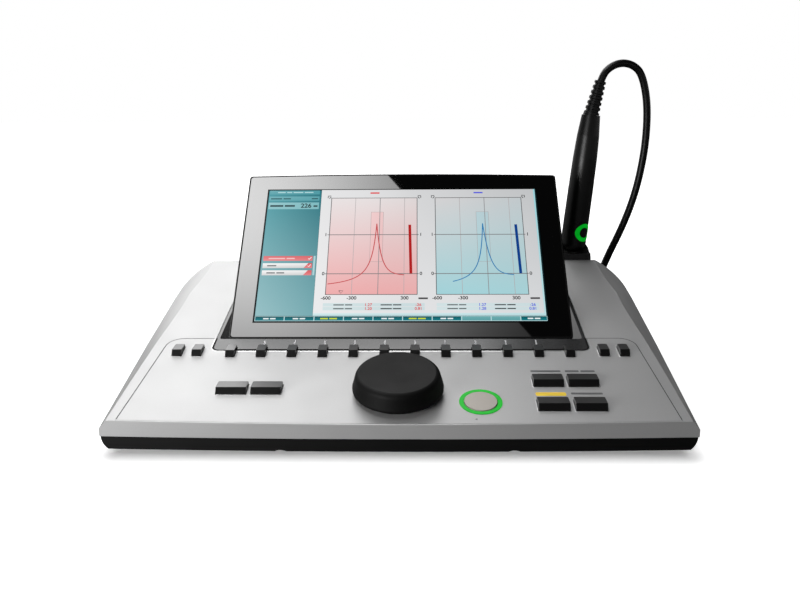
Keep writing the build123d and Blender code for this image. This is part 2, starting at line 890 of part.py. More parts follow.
def d_section(radius, flat):
    """A round shaft's section with one flat, centred on the knob."""
    with BuildSketch(panel, mode=Mode.PRIVATE) as section:
        with Locations((0, knob_from_lip)):
            Circle(radius)
        with Locations((flat + radius, knob_from_lip)):
            Rectangle(2 * radius, 2 * radius, mode=Mode.SUBTRACT)
    return section.sketch


shaft_top = knob_height - 4.0
shaft_flat = shaft_radius - 0.9
with BuildPart() as knob_shaft:
    with BuildSketch(panel.offset(-board_top_depth + key_board_thickness + flat_gap)):
        with Locations((0, knob_from_lip)):
            Circle(shaft_radius)
    extrude(amount=board_top_depth - key_board_thickness + knob_gap - 3 * flat_gap)
    extrude(d_section(shaft_radius, shaft_flat), amount=shaft_top)
knob_shaft.part.label = "knob_shaft"
export_step(knob_shaft.part, "parts/knob_shaft.step")

dish_low = knob_height - knob_dish
knob_middle = panel_point(0, knob_from_lip)
knob_section = Plane(origin=knob_middle, x_dir=(1, 0, 0), z_dir=(0, -cos(slope), -sin(slope)))
with BuildPart() as control_knob:
    with BuildSketch(knob_section):
        with BuildLine():
            foot = Line((0, knob_gap), (knob_foot_radius, knob_gap))
            flare = Line(foot @ 1, (knob_radius - flat_gap, knob_waist_height - knob_waist))
            waist = Line(flare @ 1, (knob_radius, knob_waist_height))
            wall = Line(waist @ 1, (knob_top_radius + knob_rim, knob_height - knob_rim))
            rim = TangentArc(wall @ 1, (knob_top_radius, knob_height), tangent=wall % 1)
            slope_in = Line(rim @ 1, (knob_top_radius / 2, dish_low + knob_dish / 4))
            crown = Line(slope_in @ 1, (0, dish_low))
            Line(crown @ 1, foot @ 0)
        make_face()
    revolve(axis=Axis(knob_middle, panel.z_dir))
    bore = d_section(shaft_radius + shaft_clearance, shaft_flat + shaft_clearance)
    extrude(bore, amount=shaft_top + flat_gap, mode=Mode.SUBTRACT)
control_knob.part.label = "control_knob"
export_step(control_knob.part, "parts/control_knob.step")


# Display: local Y runs up the glass from the hinge axis, local Z points to the viewer
def glass_outline(grow, height):
    """The display's outline at a height over the hinge axis, its top edge slightly bowed."""
    half = glass_width / 2
    top = glass_lift + glass_height - glass_bow
    with BuildSketch(display_plane.offset(height), mode=Mode.PRIVATE) as outline:
        with BuildLine():
            Polyline((-half, top), (-half, glass_lift), (half, glass_lift), (half, top))
            ThreePointArc((half, top), (0, top + glass_bow), (-half, top))
        make_face()
        fillet(outline.vertices(), glass_corner)
        if grow:
            offset(amount=grow, kind=Kind.INTERSECTION, mode=Mode.REPLACE)
    return outline.sketch


glass_back = hinge_depth - glass_thickness
lcd_front = glass_back - flat_gap
chassis_front = lcd_front - lcd_thickness - flat_gap
chassis_back = chassis_front - chassis_thickness
cover_back = hinge_depth - display_thickness
facing = Axis((0, 0, 0), display_plane.z_dir)

with BuildPart() as display_glass:
    extrude(glass_outline(0, glass_back), amount=glass_thickness)
    chamfer(display_glass.faces().sort_by(facing)[-1].edges(), seam_gap)
display_glass.part.label = "display_glass"
export_step(display_glass.part, "parts/display_glass.step")

with BuildPart() as lcd_panel:
    with BuildSketch(display_plane.offset(lcd_front - lcd_thickness)):
        with Locations((0, lcd_lift)):
            Rectangle(lcd_width, lcd_height)
    extrude(amount=lcd_thickness)
lcd_panel.part.label = "lcd_panel"
export_step(lcd_panel.part, "parts/lcd_panel.step")

ear_inner = hinge_position - hinge_lug_gap / 2 - hinge_lug
lug_inner = hinge_position + hinge_lug_gap / 2
with BuildPart() as display_chassis:
    with BuildSketch(display_plane.offset(chassis_back)):
        with Locations((0, lcd_lift)):
            Rectangle(glass_width - 2 * chassis_border, glass_height - 2 * chassis_top_border)
    extrude(amount=chassis_thickness)
    for start in (-ear_inner - hinge_lug, ear_inner):
        ear_plane = Plane(
            origin=(start, hinge_y, hinge_z), x_dir=display_plane.y_dir, z_dir=(1, 0, 0)
        )
        with BuildSketch(ear_plane):
            Circle(hinge_knuckle_radius)
            with Locations((hinge_notch_height, chassis_back)):
                Rectangle(2 * hinge_notch_height, 2 * chassis_thickness)
            Circle(hinge_pin_radius + hinge_pin_clearance / 2, mode=Mode.SUBTRACT)
        extrude(amount=hinge_lug)
display_chassis.part.label = "display_chassis"
export_step(display_chassis.part, "parts/display_chassis.step")

with BuildPart() as display_rear_cover:
    extrude(glass_outline(0, cover_back), amount=display_thickness - glass_thickness - flat_gap)
    fillet(display_rear_cover.faces().sort_by(facing)[0].edges(), cover_round)
    hollow = glass_outline(-display_wall, cover_back + display_wall)
    extrude(hollow, amount=display_thickness, mode=Mode.SUBTRACT)
    # Standoffs for the chassis
    with BuildSketch(display_plane.offset(cover_back + display_wall / 2)):
        with Locations((0, lcd_lift)):
            with GridLocations(
                lcd_width - 2 * standoff_inset, lcd_height - 2 * standoff_inset, 2, 2
            ):
                Circle(standoff_radius)
    extrude(amount=chassis_back - flat_gap - cover_back - display_wall / 2)
    # Notches for the hinges
    with BuildSketch(display_plane.offset(cover_back - 1)):
        with Locations((-hinge_position, 0), (hinge_position, 0)):
            Rectangle(hinge_notch_width, 2 * hinge_notch_height)
    extrude(amount=display_thickness - glass_thickness + 1, mode=Mode.SUBTRACT)
    # Vent slots near the top
    with BuildSketch(display_plane.offset(cover_back - 1)):
        with Locations((0, glass_height - vent_from_top)):
            with GridLocations(vent_pitch, 1, vent_count, 1):
                Rectangle(vent_width, vent_length)
    extrude(amount=display_wall + 2, mode=Mode.SUBTRACT)
display_rear_cover.part.label = "display_rear_cover"
export_step(display_rear_cover.part, "parts/display_rear_cover.step")

with BuildPart() as display_hinge_pins:
    for side in (-1, 1):
        start = side * (ear_inner - flat_gap)
        head = side * (lug_inner + hinge_lug + flat_gap)
        with BuildSketch(Plane(origin=(start, hinge_y, hinge_z), x_dir=(0, 1, 0), z_dir=(side, 0, 0))):
            Circle(hinge_pin_radius)
        extrude(amount=abs(head - start))
        with BuildSketch(Plane(origin=(head, hinge_y, hinge_z), x_dir=(0, 1, 0), z_dir=(side, 0, 0))):
            Circle(hinge_pin_radius + hinge_pin_head)
        extrude(amount=hinge_pin_head)
display_hinge_pins.part.label = "display_hinge_pins"
export_step(display_hinge_pins.part, "parts/display_hinge_pins.step")


def bay_floor_z(y):
    """Height of the bay's floor."""
    return flush_z(y) - bay_depth / cos(flush_angle)


floor_plane = Plane(
    origin=(0, hinge_y, bay_floor_z(hinge_y)),
    x_dir=(1, 0, 0),
    z_dir=(0, -sin(flush_angle), cos(flush_angle)),
)
with BuildPart() as display_hinge_brackets:
    for side in (-1, 1):
        inner = side * lug_inner
        outer = side * (lug_inner + hinge_lug)
        with BuildSketch(Plane.YZ.offset(min(inner, outer))):
            with Locations((hinge_y, hinge_z)):
                Circle(hinge_knuckle_radius)
            with BuildLine():
                near = hinge_y - hinge_knuckle_radius
                far = hinge_y + hinge_knuckle_radius
                Polyline(
                    (near, hinge_z),
                    (near, bay_floor_z(near) + flat_gap),
                    (far, bay_floor_z(far) + flat_gap),
                    (far, hinge_z),
                    (near, hinge_z),
                )
            make_face()
        extrude(amount=hinge_lug)
        with BuildSketch(floor_plane.offset(flat_gap)):
            with Locations((side * (lug_inner + hinge_lug / 2), hinge_foot_back)):
                Rectangle(hinge_foot_width, hinge_foot_length)
        extrude(amount=hinge_foot_thickness)
    with BuildSketch(Plane.YZ):
        with Locations((hinge_y, hinge_z)):
            Circle(hinge_pin_radius + hinge_pin_clearance)
    extrude(amount=half_width, both=True, mode=Mode.SUBTRACT)
display_hinge_brackets.part.label = "display_hinge_brackets"
export_step(display_hinge_brackets.part, "parts/display_hinge_brackets.step")


# The probe: one turned form, parted by a slanted seam into nose and body
def probe_form(inset):
    """The probe's turned outline, moved in by inset."""
    with BuildPart() as form:
        with BuildSketch(probe_section):
            with BuildLine():
                wide = probe_radius - inset
                turn = probe_nose_round - inset
                end = Line((0, inset), (wide - turn, inset))
                nose = TangentArc(end @ 1, (wide, probe_nose_round), tangent=(1, 0))
                low = Line(nose @ 1, (wide, probe_straight))
                side = [(wide - fall, height) for height, fall in probe_taper]
                taper = Polyline(low @ 1, *side, (probe_top_radius - inset, probe_length - inset))
                Line(taper @ 1, (0, probe_length - inset))
                Line((0, probe_length - inset), end @ 0)
            make_face()
        revolve(axis=probe_line)
    return form.part


button_turn = radians(probe_button_turn)
button_out = probe_side * sin(button_turn) + Vector(0, -1, 0) * cos(button_turn)
seam_tilt = radians(probe_seam_tilt)
seam_origin = seat_point + probe_axis * probe_seam
seam_plane = Plane(
    origin=seam_origin,
    x_dir=(0, 1, 0),
    z_dir=probe_axis * cos(seam_tilt) - button_out * sin(seam_tilt),
)
neck_radius = probe_radius - probe_wall - 0.2
neck_top = probe_seam + probe_radius * tan(seam_tilt) + probe_neck


def radial_plane(distance):
    """Plane square to the probe button's push, at a distance from the probe's axis."""
    middle = seat_point + probe_axis * probe_button_height
    return Plane(origin=middle + button_out * distance, x_dir=probe_axis, z_dir=button_out)


probe_outer = probe_form(0)
probe_inner = probe_form(probe_wall)

with BuildPart() as probe_nose:
    add(probe_outer)
    split(bisect_by=seam_plane, keep=Keep.BOTTOM)
    with BuildSketch(along_probe(probe_nose_round)):
        Circle(neck_radius)
    extrude(amount=neck_top - probe_nose_round)
    # Cup at the top, air passage and the seat of the tip
    with BuildSketch(along_probe(neck_top - probe_neck)):
        Circle(neck_radius - probe_wall)
    extrude(amount=probe_neck, mode=Mode.SUBTRACT)
    with BuildSketch(along_probe(0)):
        Circle(tip_spigot_radius + flat_gap)
    extrude(amount=neck_top, mode=Mode.SUBTRACT)
    # Pocket of the lit ring and the button
    with BuildSketch(radial_plane(probe_ring_foot - flat_gap)):
        Circle(probe_ring_radius + flat_gap)
    extrude(amount=probe_radius, mode=Mode.SUBTRACT)
probe_nose.part.label = "probe_nose"
export_step(probe_nose.part, "parts/probe_nose.step")

with BuildPart() as probe_body:
    add(probe_outer)
    add(probe_inner, mode=Mode.SUBTRACT)
    split(bisect_by=seam_plane.offset(probe_seam_gap), keep=Keep.TOP)
    with BuildSketch(along_probe(probe_length - 2 * probe_wall)):
        Circle(boot_top_radius + flat_gap)
    extrude(amount=4 * probe_wall, mode=Mode.SUBTRACT)
probe_body.part.label = "probe_body"
export_step(probe_body.part, "parts/probe_body.step")

with BuildPart() as probe_tip:
    with BuildSketch(probe_section):
        with BuildLine():
            Polyline(
                (tip_bore, -tip_length),
                (tip_spigot_radius, -tip_length),
                (tip_radius - 0.6, -tip_length / 2),
                (tip_radius, -4),
                (tip_radius, -flat_gap),
                (tip_spigot_radius, -flat_gap),
                (tip_spigot_radius, probe_neck),
                (tip_bore, probe_neck),
                (tip_bore, -tip_length),
            )
        make_face()
    revolve(axis=probe_line)
probe_tip.part.label = "probe_tip"
export_step(probe_tip.part, "parts/probe_tip.step")


def round_skin(radius):
    """A round bar about the probe's axis that gives the ring and button their curved fronts."""
    with BuildPart() as bar:
        with BuildSketch(along_probe(0)):
            Circle(radius)
        extrude(amount=2 * probe_button_height + 4)
    return bar.part


flange_gap = flat_gap
button_foot = probe_ring_foot + probe_button_travel + switch_gap
button_flange = 0.8
ring_skin = round_skin(probe_radius + probe_skin)
button_skin = round_skin(probe_radius + 2 * probe_skin)

with BuildPart() as probe_light_ring:
    with BuildSketch(radial_plane(probe_ring_foot)):
        Circle(probe_ring_radius)
        Circle(probe_ring_inner, mode=Mode.SUBTRACT)
    extrude(amount=probe_radius)
    with BuildSketch(radial_plane(probe_ring_foot)):
        Circle(probe_ring_inner + button_flange + flat_gap)
    extrude(amount=button_foot + button_flange + flange_gap - probe_ring_foot, mode=Mode.SUBTRACT)
    add(ring_skin, mode=Mode.INTERSECT)
probe_light_ring.part.label = "probe_light_ring"
export_step(probe_light_ring.part, "parts/probe_light_ring.step")

with BuildPart() as probe_button:
    with BuildSketch(radial_plane(button_foot)):
        Circle(probe_ring_inner + button_flange - flat_gap)
    extrude(amount=button_flange)
    with BuildSketch(radial_plane(button_foot)):
        Circle(probe_button_radius)
    extrude(amount=probe_radius)
    add(button_skin, mode=Mode.INTERSECT)
probe_button.part.label = "probe_button"
export_step(probe_button.part, "parts/probe_button.step")

# The ribbed boot leans a little more than the probe and stands on its top
boot_angle = radians(boot_lean)
boot_axis = Vector(sin(boot_angle), 0, cos(boot_angle))
boot_root = seat_point + probe_axis * (probe_length + flat_gap)
boot_plane = Plane(
    origin=boot_root, x_dir=(cos(boot_angle), 0, -sin(boot_angle)), z_dir=(0, -1, 0)
)
rib_pitch = boot_length / (boot_ribs + 0.5)
boot_fall = (boot_base_radius - boot_top_radius) / boot_length
with BuildPart() as probe_boot:
    with BuildSketch(boot_plane):
        with BuildLine():
            points = [(0, -3), (boot_base_radius + 3 * boot_fall, -3)]
            for rib in range(boot_ribs):
                low = boot_first_groove + rib * rib_pitch
                floor_start = low + boot_groove_slant
                floor_end = floor_start + boot_groove_floor
                high = floor_end + boot_groove_slant
                groove = ((low, 0), (floor_start, boot_groove), (floor_end, boot_groove), (high, 0))
                for height, depth in groove:
                    points.append((boot_base_radius - boot_fall * height - depth, height))
            points.append((boot_top_radius, boot_length))
            points.append((0, boot_length))
            points.append(points[0])
            Polyline(*points)
        make_face()
    revolve(axis=Axis(boot_root, boot_axis))
    split(bisect_by=along_probe(probe_length + flat_gap), keep=Keep.TOP)
    with BuildSketch(along_probe(probe_length - probe_wall - 1)):
        Circle(boot_top_radius)
    extrude(amount=probe_wall + 1 + 2 * flat_gap)
    with BuildSketch(Plane(origin=boot_root + boot_axis * boot_length, z_dir=boot_axis)):
        Circle(cable_corner + flat_gap)
    extrude(amount=-boot_length / 3, mode=Mode.SUBTRACT)
probe_boot.part.label = "probe_boot"
export_step(probe_boot.part, "parts/probe_boot.step")

# The cradle stands on the rear slope behind the crest and holds the probe's rounded end
moved_form = outer_form.moved(Location((0, seam_gap, seam_gap)))
cradle_pocket = probe_form(-cradle_clearance).moved(
    Location(probe_axis * (cradle_clearance - flat_gap))
)
with BuildPart() as probe_cradle:
    with BuildSketch(Plane.XY.offset(probe_seat_height - cradle_foot)):
        with Locations((seat_point.X, seat_point.Y)):
            with Locations(((cradle_right - cradle_left) / 2, (cradle_back - cradle_front) / 2)):
                RectangleRounded(cradle_left + cradle_right, cradle_front + cradle_back, 8)
    extrude(amount=cradle_foot + cradle_top)
    with BuildSketch(Plane.XZ.offset(-seat_point.Y)):
        with BuildLine():
            left = seat_point.X - cradle_left
            base = probe_seat_height
            Polyline(
                (left + 5, base - cradle_foot),
                (seat_point.X + 11, base - cradle_foot),
                (seat_point.X + cradle_right, base - 16),
                (seat_point.X + cradle_right, base - 7.6),
                (seat_point.X + 14.2, base + 2.8),
                (seat_point.X + 10.2, base + 8.5),
                (seat_point.X + 4.5, base + cradle_top),
                (seat_point.X - 9, base + cradle_top),
                (left, base + 6),
                (left, base - 16),
                (left + 5, base - cradle_foot),
            )
        make_face()
    extrude(amount=40, both=True, mode=Mode.INTERSECT)
    # The front is open down to a low lip
    with BuildSketch(Plane.YZ.offset(left - 5)):
        with BuildLine():
            lip = base + cradle_front_lip
            Polyline(
                (seat_point.Y - 20, lip),
                (seat_point.Y - 5, lip),
                (seat_point.Y + 4, base + cradle_top + 1),
                (seat_point.Y - 20, base + cradle_top + 1),
                (seat_point.Y - 20, lip),
            )
        make_face()
    extrude(amount=cradle_left + cradle_right + 10, mode=Mode.SUBTRACT)
    add(moved_form, mode=Mode.SUBTRACT)
    with BuildSketch(along_probe(-well_depth)):
        Circle(cradle_well_radius + cradle_well_wall)
    extrude(amount=well_depth)
    with BuildSketch(along_probe(-well_depth + cradle_well_wall)):
        Circle(cradle_well_radius)
    extrude(amount=well_depth + 5, mode=Mode.SUBTRACT)
    add(cradle_pocket, mode=Mode.SUBTRACT)
probe_cradle.part.label = "probe_cradle"
export_step(probe_cradle.part, "parts/probe_cradle.step")


# Cable: a free stretch from the boot, a put-away coil in two layers, and a tail to the plug
def bend_radii(points):
    """A radius for each corner: most of the shorter run beside it."""
    radii = []
    for i in range(1, len(points) - 1):
        before = Vector(*points[i]) - Vector(*points[i - 1])
        after = Vector(*points[i + 1]) - Vector(*points[i])
        half_turn = radians(before.get_angle(after)) / 2
        radii.append(cable_bend * min(before.length, after.length) / tan(max(half_turn, 0.01)))
    return radii


def tube(path, radius):
    """A bar swept along a path, with flat sides and the section area of a round one."""
    with BuildPart() as bar:
        with BuildLine():
            add(path)
        with BuildSketch(Plane(origin=path @ 0, z_dir=path % 0)):
            RegularPolygon(radius * cord_growth, cord_sides, rotation=180 / cord_sides)
        sweep()
    return bar.part


def rounded_path(points):
    """Straight runs joined by arcs."""
    with BuildLine() as path:
        FilletPolyline(*points, radius=bend_radii(points))
    return path.wire()


coil_start = (coil_x + coil_start_radius, coil_y, cable_diameter / 2)
boot_end = boot_root + boot_axis * boot_length
free_points = [
    tuple(boot_end - boot_axis * (boot_length / 3 - 1)),
    tuple(boot_end + boot_axis * 5),
    (183.2, 127.9, 244.8),
    (192.9, 128.8, 248.2),
    (203.2, 129.8, 246.3),
    (211.9, 131.0, 238.8),
    (218.8, 134.0, 216.0),
    (221.0, 137.0, 190.0),
    (220.2, 140.0, 163.0),
    (215.6, 143.0, 131.0),
    (206.6, 146.0, 100.0),
    (193.4, 149.0, 68.0),
    (185.0, 152.0, 40.0),
    (180.8, 156.4, 23.0),
    (176.9, 162.9, 12.8),
    (174.0, 171.8, 6.0),
    (coil_start[0], 182.0, cable_diameter / 2),
    (coil_start[0], coil_y - lead_in - flat_gap, cable_diameter / 2),
]
probe_cable = tube(rounded_path(free_points), cable_diameter / 2)
probe_cable.label = "probe_cable"
export_step(probe_cable, "parts/probe_cable.step")


def coil_point(quarter):
    """Point and direction of the coil after so many quarter turns."""
    per_turn = turn_pitch / (2 * pi)
    climb = inward_quarters + climb_quarters
    inner = coil_start_radius - turn_pitch * inward_quarters / 4
    low = cable_diameter / 2
    rise = 0.0
    if quarter <= inward_quarters:
        radius = coil_start_radius - turn_pitch * quarter / 4
        growth = -per_turn if quarter > 0 else 0.0
        height = low
    elif quarter < climb:
        radius = inner - turn_pitch / 4
        growth = 0.0
        height = low + layer_pitch / 2
        rise = layer_pitch / 2
    else:
        radius = inner + turn_pitch * (quarter - climb) / 4
        last = inward_quarters + climb_quarters + outward_quarters
        growth = per_turn if quarter < last else 0.0
        height = low + layer_pitch
    angle = pi / 2 * quarter
    point = Vector(coil_x + radius * cos(angle), coil_y + radius * sin(angle), height)
    heading = Vector(
        growth * cos(angle) - radius * sin(angle), growth * sin(angle) + radius * cos(angle), rise
    )
    return point, heading.normalized()


def two_arcs(start, start_way, end, end_way):
    """Two arcs that join smoothly and leave and meet the given directions."""
    gap = end - start
    ways = start_way + end_way
    share = gap.dot(ways)
    weight = 2 * (1 - start_way.dot(end_way))
    reach = (-share + sqrt(share**2 + weight * gap.dot(gap))) / weight
    first = start + start_way * reach
    second = end - end_way * reach
    middle = (first + second) / 2
    TangentArc(start, middle, tangent=start_way)
    TangentArc(middle, end, tangent=second - first)


quarters = inward_quarters + climb_quarters + outward_quarters
with BuildLine() as coil_line:
    point, way = coil_point(0)
    Line(point - Vector(0, lead_in, 0), point)
    for quarter in range(quarters):
        start, start_way = coil_point(quarter)
        end, end_way = coil_point(quarter + 1)
        two_arcs(start, start_way, end, end_way)
    last_point, last_way = coil_point(quarters)
    Line(last_point, last_point + last_way * lead_in)
probe_cable_coil = tube(coil_line.wire(), cable_diameter / 2)
probe_cable_coil.label = "probe_cable_coil"
export_step(probe_cable_coil, "parts/probe_cable_coil.step")

tail_start = last_point + last_way * (lead_in + flat_gap)
plug_end = rear_y + plug_length
tail_points = [
    tuple(tail_start),
    (101.0, 239.3, 11.0),
    (86.0, 236.0, 9.4),
    (72.5, 229.5, 6.6),
    (62.5, 219.5, 7.2),
    (57.2, 207.0, 13.8),
    (plug_x, plug_end + 17, socket_height),
    (plug_x, plug_end - plug_grip, socket_height),
]
probe_cable_tail = tube(rounded_path(tail_points), cable_diameter / 2)
probe_cable_tail.label = "probe_cable_tail"
export_step(probe_cable_tail, "parts/probe_cable_tail.step")

# The least gap of the cord to itself, measured on points along its middle line
line_points = []
for wire in (rounded_path(free_points), coil_line.wire(), rounded_path(tail_points)):
    count = int(wire.length / 2.5)
    line_points += [tuple(wire @ (i / count)) for i in range(count)]
apart = int(4 * cable_diameter / 2.5)
nearest = min(
    hypot(a[0] - b[0], a[1] - b[1], a[2] - b[2])
    for i, a in enumerate(line_points)
    for b in line_points[i + apart:]
)
print("bend radii of the free stretch, mm:", [round(r) for r in bend_radii(free_points)])
print("bend radii of the tail, mm:", [round(r) for r in bend_radii(tail_points)])
print("least gap of the cord to itself, mm:", round(nearest - 2 * cable_corner, 2))
print("cord length, mm:", round(len(line_points) * 2.5))

plug_section = Plane(origin=(plug_x, rear_y, socket_height), x_dir=(1, 0, 0), z_dir=(0, 0, -1))
plug_line = Axis((plug_x, rear_y, socket_height), (0, 1, 0))
with BuildPart() as probe_plug:
    with BuildSketch(plug_section):
        with BuildLine():
            Polyline(
                (0, plug_spigot_length),
                (plug_spigot_radius, plug_spigot_length),
                (plug_spigot_radius, -flat_gap),
                (plug_radius, -flat_gap),
                (plug_radius, plug_shoulder - plug_length),
                (plug_radius - 1.2, plug_shoulder - 1 - plug_length),
                (cable_corner + 1.4, -plug_length),
                (0, -plug_length),
                (0, plug_spigot_length),
            )
        make_face()
    revolve(axis=plug_line)
    with BuildSketch(Plane.XZ.offset(-plug_end)):
        with Locations((plug_x, socket_height)):
            Circle(cable_corner + flat_gap)
    extrude(amount=plug_grip + flat_gap, mode=Mode.SUBTRACT)
probe_plug.part.label = "probe_plug"
export_step(probe_plug.part, "parts/probe_plug.step")

# Sockets behind the connector wall
wall_back = rear_y - base_inset
wall_front = wall_back - panel_thickness
pin_radius = hose_bore - 0.05
with BuildPart() as probe_socket:
    with BuildSketch(Plane.XZ.offset(-rear_y)):
        with Locations((plug_x, socket_height)):
            Circle(probe_socket_radius)
            Circle(plug_spigot_radius + flat_gap, mode=Mode.SUBTRACT)
    extrude(amount=4)
    with BuildSketch(Plane.XZ.offset(-rear_y + 4)):
        with Locations((plug_x, socket_height)):
            Circle(plug_spigot_radius + 0.9)
    extrude(amount=7)
    with BuildSketch(Plane.XZ.offset(-rear_y + 4)):
        with Locations((plug_x, socket_height)):
            Circle(plug_spigot_radius + flat_gap)
    extrude(amount=plug_spigot_length - 4 + 1, mode=Mode.SUBTRACT)
    with BuildSketch(Plane.XZ.offset(-rear_y + 11)):
        with Locations((plug_x, socket_height)):
            Circle(pin_radius)
    extrude(amount=6)
probe_socket.part.label = "probe_socket"
export_step(probe_socket.part, "parts/probe_socket.step")

with BuildPart() as rear_sockets:
    for x, size, mouth in (
        (lan_x, lan_size, (11.8, 8.6)),
        (usb_x, usb_size, (12.6, 5.2)),
    ):
        middle = board_z + flat_gap + size[1] / 2
        with BuildSketch(Plane.XZ.offset(-wall_back)):
            with Locations((x, middle)):
                Rectangle(size[0], size[1] - 2 * flat_gap)
                Rectangle(*mouth, mode=Mode.SUBTRACT)
        extrude(amount=11)
        with BuildSketch(Plane.XZ.offset(-wall_back + 11)):
            with Locations((x, middle)):
                Rectangle(size[0], size[1] - 2 * flat_gap)
        extrude(amount=6)
    for x, collar, bore, depth, height in (
        (contra_jack_x, 5.0, jack_radius, jack_depth, 11.2),
        (response_jack_x, 5.0, jack_radius, jack_depth, 11.2),
        (power_jack_x, 5.5, power_jack_radius, power_jack_depth, 11.2),
    ):
        with BuildSketch(Plane.XZ.offset(-wall_back)):
            with Locations((x, socket_height)):
                Circle(collar)
                Circle(bore, mode=Mode.SUBTRACT)
        extrude(amount=panel_thickness + 0.2)
        with BuildSketch(Plane.XZ.offset(-wall_front + 0.2)):
            with Locations((x, board_z + flat_gap + height / 2)):
                Rectangle(2 * collar, height)
            with Locations((x, socket_height)):
                Circle(bore, mode=Mode.SUBTRACT)
        extrude(amount=depth - panel_thickness - 0.2)
        with BuildSketch(Plane.XZ.offset(-wall_back + depth)):
            with Locations((x, board_z + flat_gap + height / 2)):
                Rectangle(2 * collar, height)
        extrude(amount=3)
rear_sockets.part.label = "rear_sockets"
export_step(rear_sockets.part, "parts/rear_sockets.step")

# Power rocker in its frame; it is modelled pressed on the left, the off side
rocker_pivot = (switch_x, wall_back - 4.4, socket_height)
rocker_inner = (rocker_size[0] - 3.0, rocker_size[1] - 3.0)
with BuildPart() as rocker_frame:
    with BuildSketch(Plane.XZ.offset(-wall_back)):
        with Locations((switch_x, socket_height)):
            Rectangle(*rocker_size)
            Rectangle(*rocker_inner, mode=Mode.SUBTRACT)
    extrude(amount=9)
    with BuildSketch(Plane.XZ.offset(-wall_back + 9)):
        with Locations((switch_x, socket_height)):
            Rectangle(*rocker_size)
    extrude(amount=2)
    with BuildSketch(Plane.XY.offset(socket_height - rocker_size[1])):
        with Locations(rocker_pivot[:2]):
            Circle(1.25)
    extrude(amount=2 * rocker_size[1], mode=Mode.SUBTRACT)
rocker_frame.part.label = "rocker_frame"
export_step(rocker_frame.part, "parts/rocker_frame.step")

rocker_tilt = 6.0
rocker_plane = Plane(origin=rocker_pivot, z_dir=(0, 0, 1)).rotated((0, 0, rocker_tilt))
with BuildPart() as power_rocker:
    with BuildSketch(rocker_plane.offset(-rocker_inner[1] / 2 + 0.4)):
        with BuildLine():
            end = rocker_inner[0] / 2 - 0.9
            Polyline((-end, -2), (-end, 4.8), (0, 3.6), (end, 4.8), (end, -2), (-end, -2))
        make_face()
    extrude(amount=rocker_inner[1] - 0.8)
    with BuildSketch(rocker_plane.offset(-rocker_inner[1] / 2 - 1.2)):
        Circle(1.2)
    extrude(amount=rocker_inner[1] + 2.4)
power_rocker.part.label = "power_rocker"
export_step(power_rocker.part, "parts/power_rocker.step")

# Main board on its posts
with BuildPart() as main_board:
    with BuildSketch(Plane.XY.offset(board_z - board_thickness)):
        with Locations(board_middle):
            Rectangle(board_right - board_left, board_depth)
    extrude(amount=board_thickness)
    with BuildSketch(Plane.XY.offset(board_z - flat_gap)):
        with Locations((board_left + 46, board_middle[1] - 10)):
            Rectangle(27, 27)
        with Locations((board_left + 92, board_middle[1] - 24)):
            Rectangle(14, 20)
    extrude(amount=2)
main_board.part.label = "main_board"
export_step(main_board.part, "parts/main_board.step")

# Air pump, lying beside the main board, with its hose to the probe socket
pump_z = floor_top + flat_gap + pump_motor_radius + 1.5
pump_end = pump_y + pump_motor_length / 2
with BuildPart() as air_pump:
    with BuildSketch(Plane.XZ.offset(-pump_end)):
        with Locations((pump_x, pump_z)):
            Circle(pump_motor_radius)
    extrude(amount=pump_motor_length)
    with BuildSketch(Plane.XZ.offset(-pump_end - pump_head_depth)):
        with Locations((pump_x, pump_z)):
            RectangleRounded(pump_head_width, pump_head_width, pump_head_corner)
    extrude(amount=pump_head_depth)
    with BuildSketch(Plane.XY.offset(floor_top + flat_gap)):
        with Locations((pump_x, pump_y)):
            Rectangle(pump_motor_radius, pump_motor_length - 4)
    extrude(amount=pump_motor_radius / 2)
    with BuildSketch(Plane.XZ.offset(-pump_end - pump_head_depth)):
        with Locations((pump_x, socket_height)):
            Circle(pin_radius)
    extrude(amount=-6)
air_pump.part.label = "air_pump"
export_step(air_pump.part, "parts/air_pump.step")

hose_start = pump_end + pump_head_depth + flat_gap
hose_end = rear_y - 11 - flat_gap
hose_turn = (hose_start + hose_end) / 2
with BuildLine() as hose_line:
    FilletPolyline(
        (pump_x, hose_start, socket_height),
        (pump_x, hose_turn, socket_height),
        (plug_x, hose_turn, socket_height),
        (plug_x, hose_end, socket_height),
        radius=8,
    )
with BuildPart() as pump_hose:
    add(tube(hose_line.wire(), hose_radius))
    add(tube(hose_line.wire(), hose_bore), mode=Mode.SUBTRACT)
pump_hose.part.label = "pump_hose"
export_step(pump_hose.part, "parts/pump_hose.step")

speaker_foot = floor_top + flat_gap
with BuildPart() as speaker:
    with BuildSketch(Plane.XY.offset(speaker_foot)):
        with Locations((speaker_x, speaker_y)):
            Circle(speaker_radius)
            Circle(speaker_radius - speaker_rim, mode=Mode.SUBTRACT)
    extrude(amount=speaker_rim_height)
    with BuildSketch(Plane.XY.offset(speaker_foot + speaker_rim_height)):
        with Locations((speaker_x, speaker_y)):
            Circle(speaker_radius)
    extrude(amount=speaker_plate)
    with BuildSketch(Plane.XY.offset(speaker_foot + speaker_rim_height + speaker_plate)):
        with Locations((speaker_x, speaker_y)):
            Circle(speaker_radius / 2)
    extrude(amount=speaker_magnet_height)
speaker.part.label = "speaker"
export_step(speaker.part, "parts/speaker.step")

with BuildPart() as rubber_feet:
    with BuildSketch(Plane.XY):
        with Locations(foot_places):
            Circle(foot_radius)
    extrude(amount=foot_height + foot_recess - flat_gap)
    chamfer(rubber_feet.edges().group_by(Axis.Z)[0], foot_chamfer)
rubber_feet.part.label = "rubber_feet"
export_step(rubber_feet.part, "parts/rubber_feet.step")

